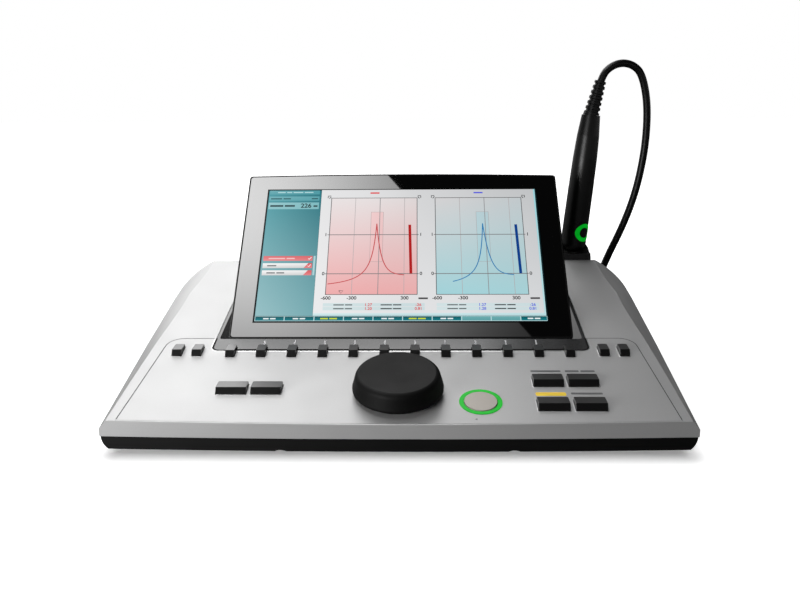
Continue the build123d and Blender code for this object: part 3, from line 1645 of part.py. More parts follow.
screw_foot = foot_height + screw_head_sink
with BuildPart() as case_screws:
    with BuildSketch(Plane.XY.offset(screw_foot)):
        with Locations(post_places):
            Circle(screw_head_radius)
    extrude(amount=screw_head_height)
    with BuildSketch(Plane.XY.offset(screw_foot)):
        with Locations(post_places):
            Circle(screw_radius)
    extrude(amount=split_height + screw_bite - screw_end_gap - screw_foot)
    # Cross recess in each head
    with BuildSketch(Plane.XY.offset(screw_foot)):
        with Locations(post_places):
            Rectangle(screw_slot_length, screw_slot_width)
            Rectangle(screw_slot_width, screw_slot_length)
    extrude(amount=screw_slot_depth, mode=Mode.SUBTRACT)
case_screws.part.label = "case_screws"
export_step(case_screws.part, "parts/case_screws.step")
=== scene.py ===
# %% [markdown]
# A desk tympanometer dressed for its portrait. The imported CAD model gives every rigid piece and
# every joint. This lesson adds what the solids leave out: finishes, the lit picture on the
# display, printed marks, and the probe's cable as one smooth line. Everything is in metres.

# %% Load the frame
from math import cos, pi, radians, sin

import bpy
import numpy as np
from mathutils import Matrix


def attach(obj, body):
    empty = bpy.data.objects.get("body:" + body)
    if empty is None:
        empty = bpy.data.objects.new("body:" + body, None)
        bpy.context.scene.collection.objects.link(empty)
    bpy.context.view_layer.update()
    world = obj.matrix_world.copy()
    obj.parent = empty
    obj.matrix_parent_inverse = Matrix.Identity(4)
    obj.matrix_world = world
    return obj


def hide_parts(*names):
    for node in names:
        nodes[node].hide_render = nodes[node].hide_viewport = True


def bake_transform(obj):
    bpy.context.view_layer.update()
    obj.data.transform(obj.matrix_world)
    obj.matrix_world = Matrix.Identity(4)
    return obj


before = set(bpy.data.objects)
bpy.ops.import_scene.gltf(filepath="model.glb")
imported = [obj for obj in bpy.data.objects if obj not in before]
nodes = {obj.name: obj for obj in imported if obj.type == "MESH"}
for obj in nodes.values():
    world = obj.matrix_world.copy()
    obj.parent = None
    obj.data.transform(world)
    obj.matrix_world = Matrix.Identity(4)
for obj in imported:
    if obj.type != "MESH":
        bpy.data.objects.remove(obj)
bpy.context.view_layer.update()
MM = 0.001
print("CAD nodes:", len(nodes))

# %% [markdown]
# The camera was solved from the photograph: known right angles of the console, and a display
# whose lit area is a common 10.1 inch panel. A focal length in pixels becomes a lens in
# millimetres on Blender's 36 mm wide sensor, and the small offset of the picture's middle
# becomes a small shift.

# %% Camera
def posed(side, top, back, place):
    """A placing matrix: its columns are an object's own three axes and its place."""
    columns = np.eye(4)
    columns[:3] = np.column_stack([side, top, back, place])
    return Matrix(columns.tolist())


photo_width, photo_height = 800, 600
focal_px = 814.39
middle_px = (401.26, 290.69)
eye = np.array([13.65, -619.48, 224.08]) * MM
pitch, yaw, roll = np.radians([13.694, 1.2435, -0.3987])

forward = np.array([-sin(yaw) * cos(pitch), cos(yaw) * cos(pitch), -sin(pitch)])
level = np.cross(forward, [0, 0, 1])
level /= np.linalg.norm(level)
upright = np.cross(level, forward)
right = level * cos(roll) + upright * sin(roll)
up = upright * cos(roll) - level * sin(roll)

camera = bpy.data.objects.new("camera", bpy.data.cameras.new("camera"))
camera.data.sensor_width = 36.0
camera.data.lens = focal_px / photo_width * camera.data.sensor_width
camera.data.shift_x = (photo_width / 2 - middle_px[0]) / photo_width
camera.data.shift_y = (middle_px[1] - photo_height / 2) / photo_width
camera.data.clip_start = 0.01
camera.matrix_world = posed(right, up, -forward, eye)
scene = bpy.context.scene
scene.collection.objects.link(camera)
scene.camera = camera
scene.view_settings.view_transform = "Standard"
print("lens:", round(camera.data.lens, 2), "mm")

# %% [markdown]
# Every new piece here is a grid of points worked out with numpy. Four helpers are enough: one
# gives a grid its quads, one stacks several grids into one shape, one reads a mesh's points, and
# one makes the object, gives it a material and lets it ride on a body of the frame.


# %% Mesh helpers
def quads(rows, columns, wrap_rows=False, wrap_columns=False):
    """Faces of a grid: each cell takes its own corner, the next in its row, and the two beyond."""
    index = np.arange(rows * columns).reshape(rows, columns)
    if wrap_rows:
        index = np.vstack([index, index[:1]])
    if wrap_columns:
        index = np.hstack([index, index[:, :1]])
    cells = [index[:-1, :-1], index[:-1, 1:], index[1:, 1:], index[1:, :-1]]
    return np.stack(cells, axis=-1).reshape(-1, 4)


def joined(parts):
    """Stack shapes given as points and faces: each one's faces move past the points before it."""
    starts = np.cumsum([0] + [len(part[0]) for part in parts])
    points = np.vstack([part[0] for part in parts])
    faces = []
    for part, start in zip(parts, starts.tolist()):
        faces += [[int(corner) + start for corner in face] for face in part[1]]
    return points, faces


def places(mesh):
    """The points of a mesh, one row each."""
    spots = np.empty(len(mesh.vertices) * 3)
    mesh.vertices.foreach_get("co", spots)
    return spots.reshape(-1, 3)


def piece(name, points, faces, material, body=None, smooth=True):
    """An object at the origin with its place in its mesh, riding on a body if one is named."""
    mesh = bpy.data.meshes.new(name)
    corners = np.asarray(points).reshape(-1, 3).tolist()
    mesh.from_pydata(corners, [], [list(map(int, face)) for face in faces])
    mesh.polygons.foreach_set("use_smooth", np.full(len(mesh.polygons), smooth))
    mesh.materials.append(material)
    thing = bpy.data.objects.new(name, mesh)
    scene.collection.objects.link(thing)
    if body:
        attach(thing, body)
    return thing


print("a grid of 3 by 4 points has", len(quads(3, 4)), "faces")


# %% [markdown]
# Two places carry most of the new pieces: the sloping keyboard and the tilted display. Each gets
# a function from its own flat measures, in millimetres, to the frame in metres.

# %% Planes of the keyboard and the display
slope = radians(12.8)
lip = np.array([0.0, -145.0, 22.3])
up_slope = np.array([0, cos(slope), sin(slope)])
off_slope = np.array([0, -sin(slope), cos(slope)])
tilt = radians(45.0)
hinge = np.array([0.0, -33.4, 40.301])
up_display = np.array([0, cos(tilt), sin(tilt)])
off_display = np.array([0, -sin(tilt), cos(tilt)])
across = np.array([1.0, 0, 0])
glass_front = 7.0
clear_of_plate = 0.3


def on_plane(origin, along, off, x, y, height):
    """Origin, plus x across, y along the plane and the height off it, as arrays that broadcast."""
    x, y, height = np.broadcast_arrays(x, y, height)
    spot = origin + x[..., None] * across + y[..., None] * along + height[..., None] * off
    return spot * MM


def on_keyboard(x, y, height=0.0):
    """A place on the keyboard: y is measured up the slope from the lip."""
    return on_plane(lip, up_slope, off_slope, x, y, height)


def on_glass(x, y, height=0.0):
    """A place on the display's glass: y is measured up the glass, the height from its front."""
    return on_plane(hinge, up_display, off_display, x, y, np.asarray(height) + glass_front)


def keyboard_box(name):
    """A key's reach across and up the slope, from the part of it that stands above the plate."""
    spots = places(nodes[name].data) / MM - lip
    high = spots[spots @ off_slope > clear_of_plate]
    reach = high @ up_slope
    return high[:, 0].min(), high[:, 0].max(), reach.min(), reach.max()


print("first soft key:", [round(float(v), 2) for v in keyboard_box("soft_key_01")])

# %% [markdown]
# Colours are written as a painter's hex code in sRGB. A shader works in linear light, so one
# function turns the code into linear numbers. One small function adds a node: it sets the
# sockets that get a plain value and links the ones that get another node's output.


# %% Colour and node helpers
def tint(code):
    """Linear RGBA of an sRGB hex code: below 0.04045 divide by 12.92, above it the 2.4 power."""
    srgb = np.array([int(code[i:i + 2], 16) for i in (1, 3, 5)]) / 255
    linear = np.where(srgb <= 0.04045, srgb / 12.92, ((srgb + 0.055) / 1.055) ** 2.4)
    return (*linear.tolist(), 1.0)


def put(owner, kind, sockets=None, **settings):
    """Add a node of a kind; sockets are values or outputs to link, settings are properties."""
    tree = owner.node_tree
    fresh = tree.nodes.new("ShaderNode" + kind)
    for name, value in settings.items():
        setattr(fresh, name, value)
    for name, value in (sockets or {}).items():
        if isinstance(value, bpy.types.NodeSocket):
            tree.links.new(value, fresh.inputs[name])
        else:
            fresh.inputs[name].default_value = value
    return fresh


def blank(name):
    """A new material with an empty node tree."""
    material = bpy.data.materials.new(name)
    material.use_nodes = True
    material.node_tree.nodes.clear()
    return material


def grained(name, colour, rough, grain_mm, depth_mm, mottle=0.04, specular=0.5, **extra):
    """A plain finish with a fine grain: noise of a real size moves colour, gloss and height."""
    cloud_mm, gloss_swing = 25, 0.12
    material = blank(name)
    place = put(material, "TexCoord").outputs["Object"]
    fine = {"Vector": place, "Scale": 1 / (grain_mm * MM), "Detail": 3.0}
    grain = put(material, "TexNoise", fine)
    coarse = {"Vector": place, "Scale": 1 / (cloud_mm * MM), "Detail": 2.0}
    cloud = put(material, "TexNoise", coarse)
    base = np.array(tint(colour)[:3])
    dark, light = base * (1 - mottle), np.minimum(base * (1 + mottle), 1)
    ramp = {"Vector": grain.outputs["Fac"], 9: dark.tolist(), 10: light.tolist()}
    shade = put(material, "MapRange", ramp, data_type="FLOAT_VECTOR")
    spread = {
        "Value": cloud.outputs["Fac"],
        "To Min": rough * (1 - gloss_swing),
        "To Max": rough * (1 + gloss_swing),
    }
    gloss = put(material, "MapRange", spread)
    bumps = {"Height": grain.outputs["Fac"], "Distance": depth_mm * MM, "Strength": 1.0}
    relief = put(material, "Bump", bumps)
    sockets = {
        "Base Color": shade.outputs["Vector"],
        "Roughness": gloss.outputs["Result"],
        "Normal": relief.outputs["Normal"],
        "Specular IOR Level": specular,
    }
    shader = put(material, "BsdfPrincipled", {**sockets, **extra})
    put(material, "OutputMaterial", {"Surface": shader.outputs[0]})
    return material


print("middle grey in linear light:", round(tint("#808080")[0], 3))

# %% [markdown]
# The photograph is a studio cut-out on white. A big soft lamp stands behind and to the left, so
# the silver paint is bright at the left and falls to grey at the right, and the keys' rear faces
# shine only there. A small lamp lights the front from the left.


# %% Lamps
def lamp(name, place, aim, size, watts, turn=0.0):
    """A soft rectangular lamp that faces its aim, turned about its own axis."""
    data = bpy.data.lights.new(name, "AREA")
    data.shape = "RECTANGLE"
    data.size, data.size_y = size
    data.energy = watts
    light = bpy.data.objects.new(name, data)
    light.visible_camera = False
    back = np.array(place, float) - np.array(aim, float)
    back /= np.linalg.norm(back)
    side = np.cross([0, 0, 1.0], back)
    side /= np.linalg.norm(side)
    stance = posed(side, np.cross(back, side), back, place)
    light.matrix_world = stance @ Matrix.Rotation(turn, 4, "Z")
    scene.collection.objects.link(light)
    return light


behind = lamp("soft box behind left", (-0.52, 1.2, 1.2), (0, 0, 0.05), (1.5, 1.35), 22)
fill = lamp("fill at the front left", (-0.65, -0.8, 0.13), (0, -0.1, 0.03), (0.6, 0.35), 9.5)
print("lamps:", behind.data.energy, "W behind,", fill.data.energy, "W in front")

# %% [markdown]
# A third lamp hangs above the left, turned so that its edge runs as a diagonal through the
# display's glass. It is only there to be mirrored. It is brightest round its bulb and falls off
# as a bell curve: e to the power of minus the squared distance, divided by the spread.

# %% Lamp for the reflections
box_place, box_aim = (-0.394, -0.176, 1.35), (-0.394, -0.175, 0.0)
bulb = (-0.42, -0.12, 1.35)
bell_spread = 0.18
mirrored_box = lamp("soft box above left", box_place, box_aim, (1.5, 0.68), 26, radians(-48.7))
mirrored_box.visible_diffuse = False
bell_light = mirrored_box.data
bell_light.use_nodes = True
bell_light.node_tree.nodes.clear()
spot_on_box = put(bell_light, "NewGeometry").outputs["Position"]
from_bulb = put(bell_light, "VectorMath", {0: spot_on_box, 1: bulb}, operation="DISTANCE")
squared = put(bell_light, "Math", {0: from_bulb.outputs["Value"], 1: 2.0}, operation="POWER")
scaled = put(bell_light, "Math", {0: squared.outputs[0], 1: -1 / bell_spread}, operation="MULTIPLY")
bell = put(bell_light, "Math", {0: scaled.outputs[0]}, operation="EXPONENT")
shine = put(bell_light, "Emission", {"Color": tint("#ffffff"), "Strength": bell.outputs[0]})
put(bell_light, "OutputLight", {"Surface": shine.outputs[0]})
print("lamp for reflections:", bell_light.energy, "W")

# %% [markdown]
# The world is a dark room that grows lighter towards one place, up behind the console and a
# little right. The camera sees it as plain white, and so do reflections close to the horizon,
# where the white backdrop would stand.

# %% World
light_place = (0.15, 0.6, 0.786)
room_dark, room_light = 0.02, 0.35
horizon_low, horizon_high = 0.04, 0.16
light_edge = 0.74
world = bpy.data.worlds.new("studio")
world.use_nodes = True
world.node_tree.nodes.clear()
scene.world = world
gaze = put(world, "TexCoord").outputs["Generated"]
gaze_parts = put(world, "SeparateXYZ", {"Vector": gaze})
towards = put(world, "VectorMath", {0: gaze, 1: light_place}, operation="DOT_PRODUCT")
lighter = {
    "Value": towards.outputs["Value"],
    "From Min": light_edge,
    "From Max": 1.0,
    "To Min": room_dark,
    "To Max": room_light,
}
room_strength = put(world, "MapRange", lighter)
low_down = {"Value": gaze_parts.outputs["Z"], "From Min": horizon_high, "From Max": horizon_low}
backdrop = put(world, "MapRange", low_down)
rays = put(world, "LightPath").outputs
glossy_or_clear = {0: rays["Is Glossy Ray"], 1: rays["Is Transmission Ray"]}
mirrored = put(world, "Math", glossy_or_clear, operation="MAXIMUM")
low_mirrored = {0: mirrored.outputs[0], 1: backdrop.outputs["Result"]}
mirrored_low = put(world, "Math", low_mirrored, operation="MULTIPLY")
seen_or_mirrored = {0: rays["Is Camera Ray"], 1: mirrored_low.outputs[0]}
seen = put(world, "Math", seen_or_mirrored, operation="MAXIMUM")
room_sockets = {"Color": tint("#f2f3f5"), "Strength": room_strength.outputs["Result"]}
room = put(world, "Background", room_sockets)
white = put(world, "Background", {"Color": tint("#ffffff"), "Strength": 1.0})
sky = put(world, "MixShader", {0: seen.outputs[0], 1: room.outputs[0], 2: white.outputs[0]})
put(world, "OutputWorld", {"Surface": sky.outputs[0]})
print("world nodes:", len(world.node_tree.nodes))

# %% [markdown]
# The floor is a sheet of paper. For the camera it glows: a little at the console's footprint and
# fully two centimetres away from it, so it runs into the white backdrop. The weaker glow near the
# footprint is painted shade: it darkens a narrow band round the console, over the real shadow cast
# there. Other rays see plain grey paper, which throws less light back up.

# %% Floor
floor_half = 6
footprint = (0.18, 0.139, 0)
glow_in_painted_shade, glow_reach = 0.22, 0.018
floor_mesh = bpy.data.meshes.new("floor")
floor_corners = [(-1, -1, 0), (1, -1, 0), (1, 1, 0), (-1, 1, 0)]
floor_mesh.from_pydata((np.array(floor_corners) * floor_half).tolist(), [], [(0, 1, 2, 3)])
floor = bpy.data.objects.new("floor", floor_mesh)
scene.collection.objects.link(floor)
paper = blank("white paper sweep, matt")
floor_place = put(paper, "TexCoord").outputs["Object"]
folded = put(paper, "VectorMath", {0: floor_place}, operation="ABSOLUTE")
outside = put(paper, "VectorMath", {0: folded.outputs[0], 1: footprint}, operation="SUBTRACT")
clamped = put(paper, "VectorMath", {0: outside.outputs[0], 1: (0, 0, 0)}, operation="MAXIMUM")
distance = put(paper, "VectorMath", {0: clamped.outputs[0]}, operation="LENGTH")
# Less glow close to the footprint paints shade in a narrow band round the console's foot.
painted_shade_fade = {"Value": distance.outputs["Value"], "From Max": glow_reach, "To Min": glow_in_painted_shade}
glow_power = put(paper, "MapRange", painted_shade_fade)
glow_sockets = {"Color": tint("#ffffff"), "Strength": glow_power.outputs["Result"]}
glow = put(paper, "Emission", glow_sockets)
bright_paper = put(paper, "BsdfDiffuse", {"Color": tint("#ececec")})
seen_paper = put(paper, "AddShader", {0: bright_paper.outputs[0], 1: glow.outputs[0]})
bounced_paper = put(paper, "BsdfDiffuse", {"Color": tint("#686868")})
faced_floor = put(paper, "LightPath").outputs["Is Camera Ray"]
two_papers = {0: faced_floor, 1: bounced_paper.outputs[0], 2: seen_paper.outputs[0]}
either = put(paper, "MixShader", two_papers)
put(paper, "OutputMaterial", {"Surface": either.outputs[0]})
floor_mesh.materials.append(paper)
print("floor:", 2 * floor_half, "m square")

# %% [markdown]
# Finishes for the CAD pieces. Each is named for the real material and how it was made, and its
# grain has a real size in millimetres. Grains too fine for the render are drawn coarser. First
# come the metals and the paint that holds metal.

# %% Metal finishes
# Metal flakes under clear lacquer: bright towards the lamp, grey away from it, a faint sparkle.
# Real flakes are 0.02 mm; clumps of 0.7 mm are drawn so that they show.
silver_name = "aluminium flake lacquer on ABS, sprayed"
silver = grained(silver_name, "#b9b9b9", 0.47, 0.7, 0.003, 0.05, Metallic=0.45)
# Fine brushing and a warm tint give the button a soft, even sheen.
warm_disc = grained("brushed aluminium, warm", "#aaa49c", 0.4, 0.5, 0.004, 0.1, Metallic=0.4)
# Zinc plating over pressed steel shines with a slight cloudiness.
steel = grained("zinc-plated steel, pressed", "#a8a9aa", 0.35, 0.8, 0.004, 0.06, Metallic=0.9)
# Mill finish is duller than plating, because nobody polished it.
sheet_metal_name = "aluminium sheet, mill finish"
sheet_metal = grained(sheet_metal_name, "#b4b5b6", 0.4, 0.9, 0.004, 0.05, Metallic=0.9)
metals = [silver, warm_disc, steel, sheet_metal]
print("metal finishes:", [metal.name for metal in metals])

# %% [markdown]
# The black parts are all plastic, rubber or glass, and only their gloss tells them apart. So each
# has its own roughness and specular level.

# %% Black finishes
# The bay's liner is dark lacquer with a soft shine.
liner_name = "dark lacquered ABS, satin"
liner = grained(liner_name, "#121213", 0.22, 0.8, 0.0003, 0.03, specular=0.6)
# The tray is textured black plastic that hides scratches; the grain dulls its shine.
tray = grained("black ABS, fine spark-eroded texture", "#060606", 0.5, 0.9, 0.006, specular=0.2)
# The keys come from a smooth mould, so their slanted rear faces mirror the lamp.
keycap = grained("black ABS keys, satin moulded", "#050505", 0.3, 0.8, 0.0003, specular=0.75)
# Rubber paint drinks the light: the knob has hardly any highlight.
soft_touch_name = "soft-touch rubber paint, matt black"
soft_touch = grained(soft_touch_name, "#050505", 0.6, 1.1, 0.006, 0.1, specular=0.15)
# Polished glass mirrors the lamp above it with a sharp edge.
bezel = grained("black float glass, polished", "#030303", 0.02, 2.0, 0.00005, 0.0, specular=1.0)
# The display's back and the cradle have a fine even texture.
housing = grained("black ABS housing, fine satin", "#060606", 0.4, 0.9, 0.004)
# The probe is smoother and shows one long soft highlight.
handle = grained("black ABS handle, satin moulded", "#030303", 0.33, 0.9, 0.003, specular=0.3)
# The cable's jacket is drawn out of a die, which leaves it nearly smooth.
vinyl = grained("black PVC cable jacket, extruded", "#030303", 0.36, 1.2, 0.004, specular=0.3)
# The feet are rough so that they grip.
pad = grained("black rubber feet, moulded", "#202020", 0.75, 1.0, 0.02)
blacks = [liner, tray, keycap, soft_touch, bezel, housing, handle, vinyl, pad]
print("black finishes:", len(blacks))

# %% [markdown]
# The last finishes belong to parts inside the console and to the probe's replaceable tip.

# %% Finishes inside
# Solder mask is a thin green varnish over the weave of the board.
board = grained("fibreglass board, green solder mask", "#1d5a33", 0.4, 1.0, 0.01, 0.1)
# Silicone is milky and slightly waxy.
clear_hose = grained("silicone hose, milky", "#c9c9c2", 0.42, 1.0, 0.004)
# Nylon straight from the mould is dull and grey.
tip_grey = grained("grey nylon tip, moulded", "#8d9094", 0.4, 0.8, 0.006)
# A panel without its light looks like grey glass.
cell = grained("liquid crystal panel, bare glass", "#9aa5ab", 0.15, 1.5, 0.001)
print("finishes so far:", len(bpy.data.materials))

# %% [markdown]
# The ring of the enter button and the ring on the probe are milky light guides lit from
# behind in green, so they glow and still have a smooth moulded skin. The camera sees the whole
# glow, but a strong glow would tint the silver plate, so other rays get only a share of it.


# %% Lit green light guides
def camera_share(material, power, thrown):
    """A glow's power: all of it for the camera's rays, and only the share thrown for others."""
    faced = put(material, "LightPath").outputs["Is Camera Ray"]
    share = put(material, "MapRange", {"Value": faced, "To Min": thrown, "To Max": 1.0})
    both = {0: power.outputs["Result"], 1: share.outputs["Result"]}
    return put(material, "Math", both, operation="MULTIPLY").outputs[0]


def lit_guide(name, weakest, strongest, thrown):
    """A milky guide whose light wavers between two strengths in patches of a real size."""
    patch_mm = 4
    guide = blank(name)
    place = put(guide, "TexCoord").outputs["Object"]
    patches = put(guide, "TexNoise", {"Vector": place, "Scale": 1 / (patch_mm * MM), "Detail": 1.0})
    wave = {"Value": patches.outputs["Fac"], "To Min": weakest, "To Max": strongest}
    power = put(guide, "MapRange", wave)
    sockets = {
        "Base Color": tint("#032008"),
        "Roughness": 0.3,
        "Specular IOR Level": 0.1,
        "Emission Color": tint("#00d02c"),
        "Emission Strength": camera_share(guide, power, thrown),
    }
    shader = put(guide, "BsdfPrincipled", sockets)
    put(guide, "OutputMaterial", {"Surface": shader.outputs[0]})
    return guide


# Milky plastic spreads the light, so the whole ring shines and no lamp shows through it.
enter_guide = lit_guide("milky polycarbonate light guide, lit green", 0.55, 0.85, 0.6)
probe_guide = lit_guide("milky polycarbonate light guide, dimmer green", 0.4, 0.65, 0.1)
print("light guides:", enter_guide.name, "and", probe_guide.name)

# %% [markdown]
# The rigid pieces come from the CAD model and only need their finish. A list of nodes for each
# finish keeps it plain which pieces share a material.

# %% Dress the CAD nodes
finishes = {
    silver: ["top_shell", "keyboard_plate"],
    liner: ["display_bay"],
    tray: ["base_shell"],
    soft_touch: ["control_knob"],
    warm_disc: ["enter_button"],
    enter_guide: ["enter_light_ring"],
    probe_guide: ["probe_light_ring"],
    bezel: ["display_glass"],
    housing: [
        "display_rear_cover", "probe_cradle", "rocker_frame", "power_rocker", "speaker",
        "key_switches",
    ],
    handle: ["probe_body", "probe_nose", "probe_button", "probe_plug"],
    vinyl: ["probe_boot", "probe_cable", "probe_cable_coil", "probe_cable_tail"],
    steel: [
        "case_screws", "knob_shaft", "knob_encoder", "display_hinge_pins",
        "display_hinge_brackets", "air_pump", "probe_socket", "rear_sockets",
    ],
    sheet_metal: ["display_chassis"],
    board: ["key_board", "main_board"],
    clear_hose: ["pump_hose"],
    tip_grey: ["probe_tip"],
    pad: ["rubber_feet"],
    cell: ["lcd_panel"],
    keycap: [name for name in nodes if "_key_" in name],
}
for finish, names in finishes.items():
    for name in names:
        nodes[name].data.materials.clear()
        nodes[name].data.materials.append(finish)
print("dressed nodes:", sum(len(names) for names in finishes.values()), "of", len(nodes))

# %% [markdown]
# The probe's cable is a limp 6.6 mm hose and wire in one PVC jacket, about 1.8 m long. It leaves
# the ribbed boot, bows over and drops behind the console, where the length that the photograph
# hides lies as a flat double coil and ends in the rear plug. The route's points are the ones of
# the part's source, in millimetres. A NURBS line goes smoothly through them; the coil's points
# come from a spiral, sixteen a turn, a little wide because the line cuts inside its points.

# %% Route of the cable
cable_radius = 3.3
seat = np.array([156.3, 127.0, 80.7])
probe_lean, boot_lean = radians(5.4), radians(13.5)
probe_reach, boot_length = 123.1, 30
probe_way = np.array([sin(probe_lean), 0, cos(probe_lean)])
boot_way = np.array([sin(boot_lean), 0, cos(boot_lean)])
boot_end = seat + probe_reach * probe_way + boot_length * boot_way
# The line starts 9 mm inside the boot and comes straight out of it.
start_points = [boot_end - 9 * boot_way, boot_end + 5 * boot_way]
drop = [
    (183.2, 127.9, 244.8),
    (192.9, 128.8, 248.2),
    (203.2, 129.8, 246.3),
    (211.9, 131.0, 238.8),
    (218.8, 134.0, 216.0),
    (221.0, 137.0, 190.0),
    (220.2, 140.0, 163.0),
    (215.6, 143.0, 131.0),
    (206.6, 146.0, 100.0),
    (193.4, 149.0, 68.0),
    (185.0, 152.0, 40.0),
    (180.8, 156.4, 23.0),
    (176.9, 162.9, 12.8),
    (174.0, 171.8, 6.0),
    (173.0, 182.0, cable_radius),
    (173.0, 193.9, cable_radius),
]
coil_middle = (125, 201)
upper_layer = 10.8
quarter = np.arange(0, 29.01, 0.25)
coil_radius = np.interp(quarter, [0, 16, 17, 18, 29], [48.0, 18.0, 16.1, 18.0, 38.6])
coil_heights = [cable_radius, cable_radius, upper_layer, upper_layer]
coil_height = np.interp(quarter, [0, 16, 18, 29], coil_heights)
wide = coil_radius / cos(pi / 16)
turned = quarter * pi / 2
coil_x = coil_middle[0] + wide * np.cos(turned)
coil_y = coil_middle[1] + wide * np.sin(turned)
coil = np.column_stack([coil_x, coil_y, coil_height])
tail = [
    (117.9, 239.6, 10.8),
    (101.0, 239.3, 11.0),
    (86.0, 236.0, 9.4),
    (72.5, 229.5, 6.6),
    (62.5, 219.5, 7.2),
    (57.2, 207.0, 13.8),
    (56.0, 193.0, 22.2),
    (56.0, 171.0, 22.2),
]
route = np.vstack([start_points, drop, coil, tail]) * MM
print("points of the route:", len(route))

# %% [markdown]
# Blender bends the line itself: a NURBS spline of order 3 that starts and ends at its end
# points. Its points along the way are read back from the mesh that Blender makes of it.

# %% Line of the cable
line = bpy.data.curves.new("cable line", "CURVE")
line.dimensions = "3D"
spline = line.splines.new("NURBS")
spline.points.add(len(route) - 1)
spline.points.foreach_set("co", np.column_stack([route, np.ones(len(route))]).ravel())
spline.order_u = 3
spline.use_endpoint_u = True
spline.resolution_u = 8
line_object = bpy.data.objects.new("cable line", line)
scene.collection.objects.link(line_object)
bpy.context.view_layer.update()
traced = bpy.data.meshes.new_from_object(line_object)
middle_line = places(traced)
bpy.data.objects.remove(line_object)
bpy.data.meshes.remove(traced)
cable_length = np.linalg.norm(np.diff(middle_line, axis=0), axis=1).sum()
print("cable:", round(float(cable_length), 3), "m,", len(middle_line), "points")


# %% [markdown]
# The jacket is a circle carried along that line. The circle's axes are found once for the whole
# line: one axis stays square to the line and as near to a fixed side as it can.


# %% Cable jacket
def tube(path, radius, sides, side_hint):
    """A circle at every point of the path, square to it; its first axis leans to the hint."""
    way = np.gradient(path, axis=0)
    way /= np.linalg.norm(way, axis=1, keepdims=True)
    first = side_hint - (way @ side_hint)[:, None] * way
    first /= np.linalg.norm(first, axis=1, keepdims=True)
    second = np.cross(way, first)
    angle = np.linspace(0, 2 * pi, sides, endpoint=False)
    ring = np.cos(angle)[:, None] * first[:, None] + np.sin(angle)[:, None] * second[:, None]
    points = (path[:, None] + radius * ring).reshape(-1, 3)
    faces = quads(len(path), sides, wrap_columns=True).tolist()
    last = len(path) * sides
    return points, faces + [list(range(sides))[::-1], list(range(last - sides, last))]


fixed_side = np.array([0.12, 0.98, 0.15])
points, faces = tube(middle_line, cable_radius * MM, 14, fixed_side)
cable = piece("cable_in_one_length", points, faces, vinyl)
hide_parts("probe_cable", "probe_cable_coil", "probe_cable_tail")
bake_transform(cable)
print("faces of the cable:", len(faces))

# %% [markdown]
# The lit picture shows two plots in red and blue beside a teal list, as this kind of instrument
# does. It is one mesh of flat shapes stacked a few hundredths of a millimetre apart, each with
# its own colour at its points. Lines of text are plain bars, and only bare numbers are written.
# Screen places are in pixels of a 1600 by 900 picture. Pixels count downwards, so every shape's
# faces come out turned over, and they are all turned back when the picture is made.

# %% Screen coordinates and flat shapes
lit_left, lit_top, lit_width, lit_height = -111.35, 141.0, 222.7, 125.8
picture_width, picture_height = 1600, 900
lowest_layer, layer_step = 0.03, 0.02
shapes = []


def on_screen(x, y, layer):
    """Pixels across and down become millimetres on the glass, one thin step off it per layer."""
    x_mm = lit_left + np.asarray(x, float) * lit_width / picture_width
    y_mm = lit_top - np.asarray(y, float) * lit_height / picture_height
    return on_glass(x_mm, y_mm, lowest_layer + layer_step * layer).reshape(-1, 3)


def mixed(codes, down, along):
    """Blend four corner colours: top left, top right, bottom left, bottom right."""
    corners = np.array([tint(code) for code in codes])
    top = corners[0] + (corners[1] - corners[0]) * along[..., None]
    bottom = corners[2] + (corners[3] - corners[2]) * along[..., None]
    return (top + (bottom - top) * down[..., None]).reshape(-1, 4)


def box(left, top, right_side, bottom, colour, layer, lean=0.0):
    """A rectangle, or one whose left side leans; one colour or four corner colours."""
    codes = [colour] * 4 if isinstance(colour, str) else colour
    steps = 2 if isinstance(colour, str) else 7
    share = np.linspace(0, 1, steps)
    down, along = np.meshgrid(share, share, indexing="ij")
    start = left + lean * (1 - down)
    x = start + (right_side - start) * along
    y = top + (bottom - top) * down
    shapes.append((on_screen(x, y, layer), quads(steps, steps).tolist(), mixed(codes, down, along)))


def plain(colour, spots):
    """One colour for every point."""
    return np.tile(tint(colour), (len(spots), 1))


def ribbon(x, y, width, colour, layer):
    """A band along a line of pixels: each point moves half the width to both sides."""
    line_points = np.column_stack([x, y]).astype(float)
    way = np.gradient(line_points, axis=0)
    way /= np.linalg.norm(way, axis=1, keepdims=True)
    off = np.column_stack([-way[:, 1], way[:, 0]]) * width / 2
    both = np.stack([line_points + off, line_points - off], axis=1)
    spots = on_screen(both[..., 0], both[..., 1], layer)
    shapes.append((spots, quads(len(line_points), 2).tolist(), plain(colour, spots)))


def figures(text, x, y, height, colour, layer):
    """Numbers centred on a pixel: a text curve is made a mesh, then laid on the glass."""
    capital_share, heavier = 0.7, 0.03
    curve = bpy.data.curves.new("figures", "FONT")
    curve.body, curve.align_x, curve.align_y = text, "CENTER", "CENTER"
    curve.size, curve.offset = height / capital_share, height * heavier
    holder = bpy.data.objects.new("figures", curve)
    scene.collection.objects.link(holder)
    bpy.context.view_layer.update()
    drawn = bpy.data.meshes.new_from_object(holder)
    flat = places(drawn)
    spots = on_screen(x + flat[:, 0], y - flat[:, 1], layer)
    # A text's own y counts upwards, so its faces are turned over here like the other shapes'.
    outlines = [list(polygon.vertices)[::-1] for polygon in drawn.polygons]
    shapes.append((spots, outlines, plain(colour, spots)))
    bpy.data.objects.remove(holder)
    bpy.data.meshes.remove(drawn)


def bars(left, y, widths, height, colour, layer, gap=9):
    """A row of plain bars, as a line of text looks from afar."""
    for width in widths:
        box(left, y - height / 2, left + width, y + height / 2, colour, layer)
        left += width + gap


print("one pixel is", round(lit_width / picture_width, 3), "mm wide")

# %% [markdown]
# Behind everything lies a black border, then the dark ground. The list is a teal panel with
# three title strips, and three entries lower down, the first of them chosen and so in red.


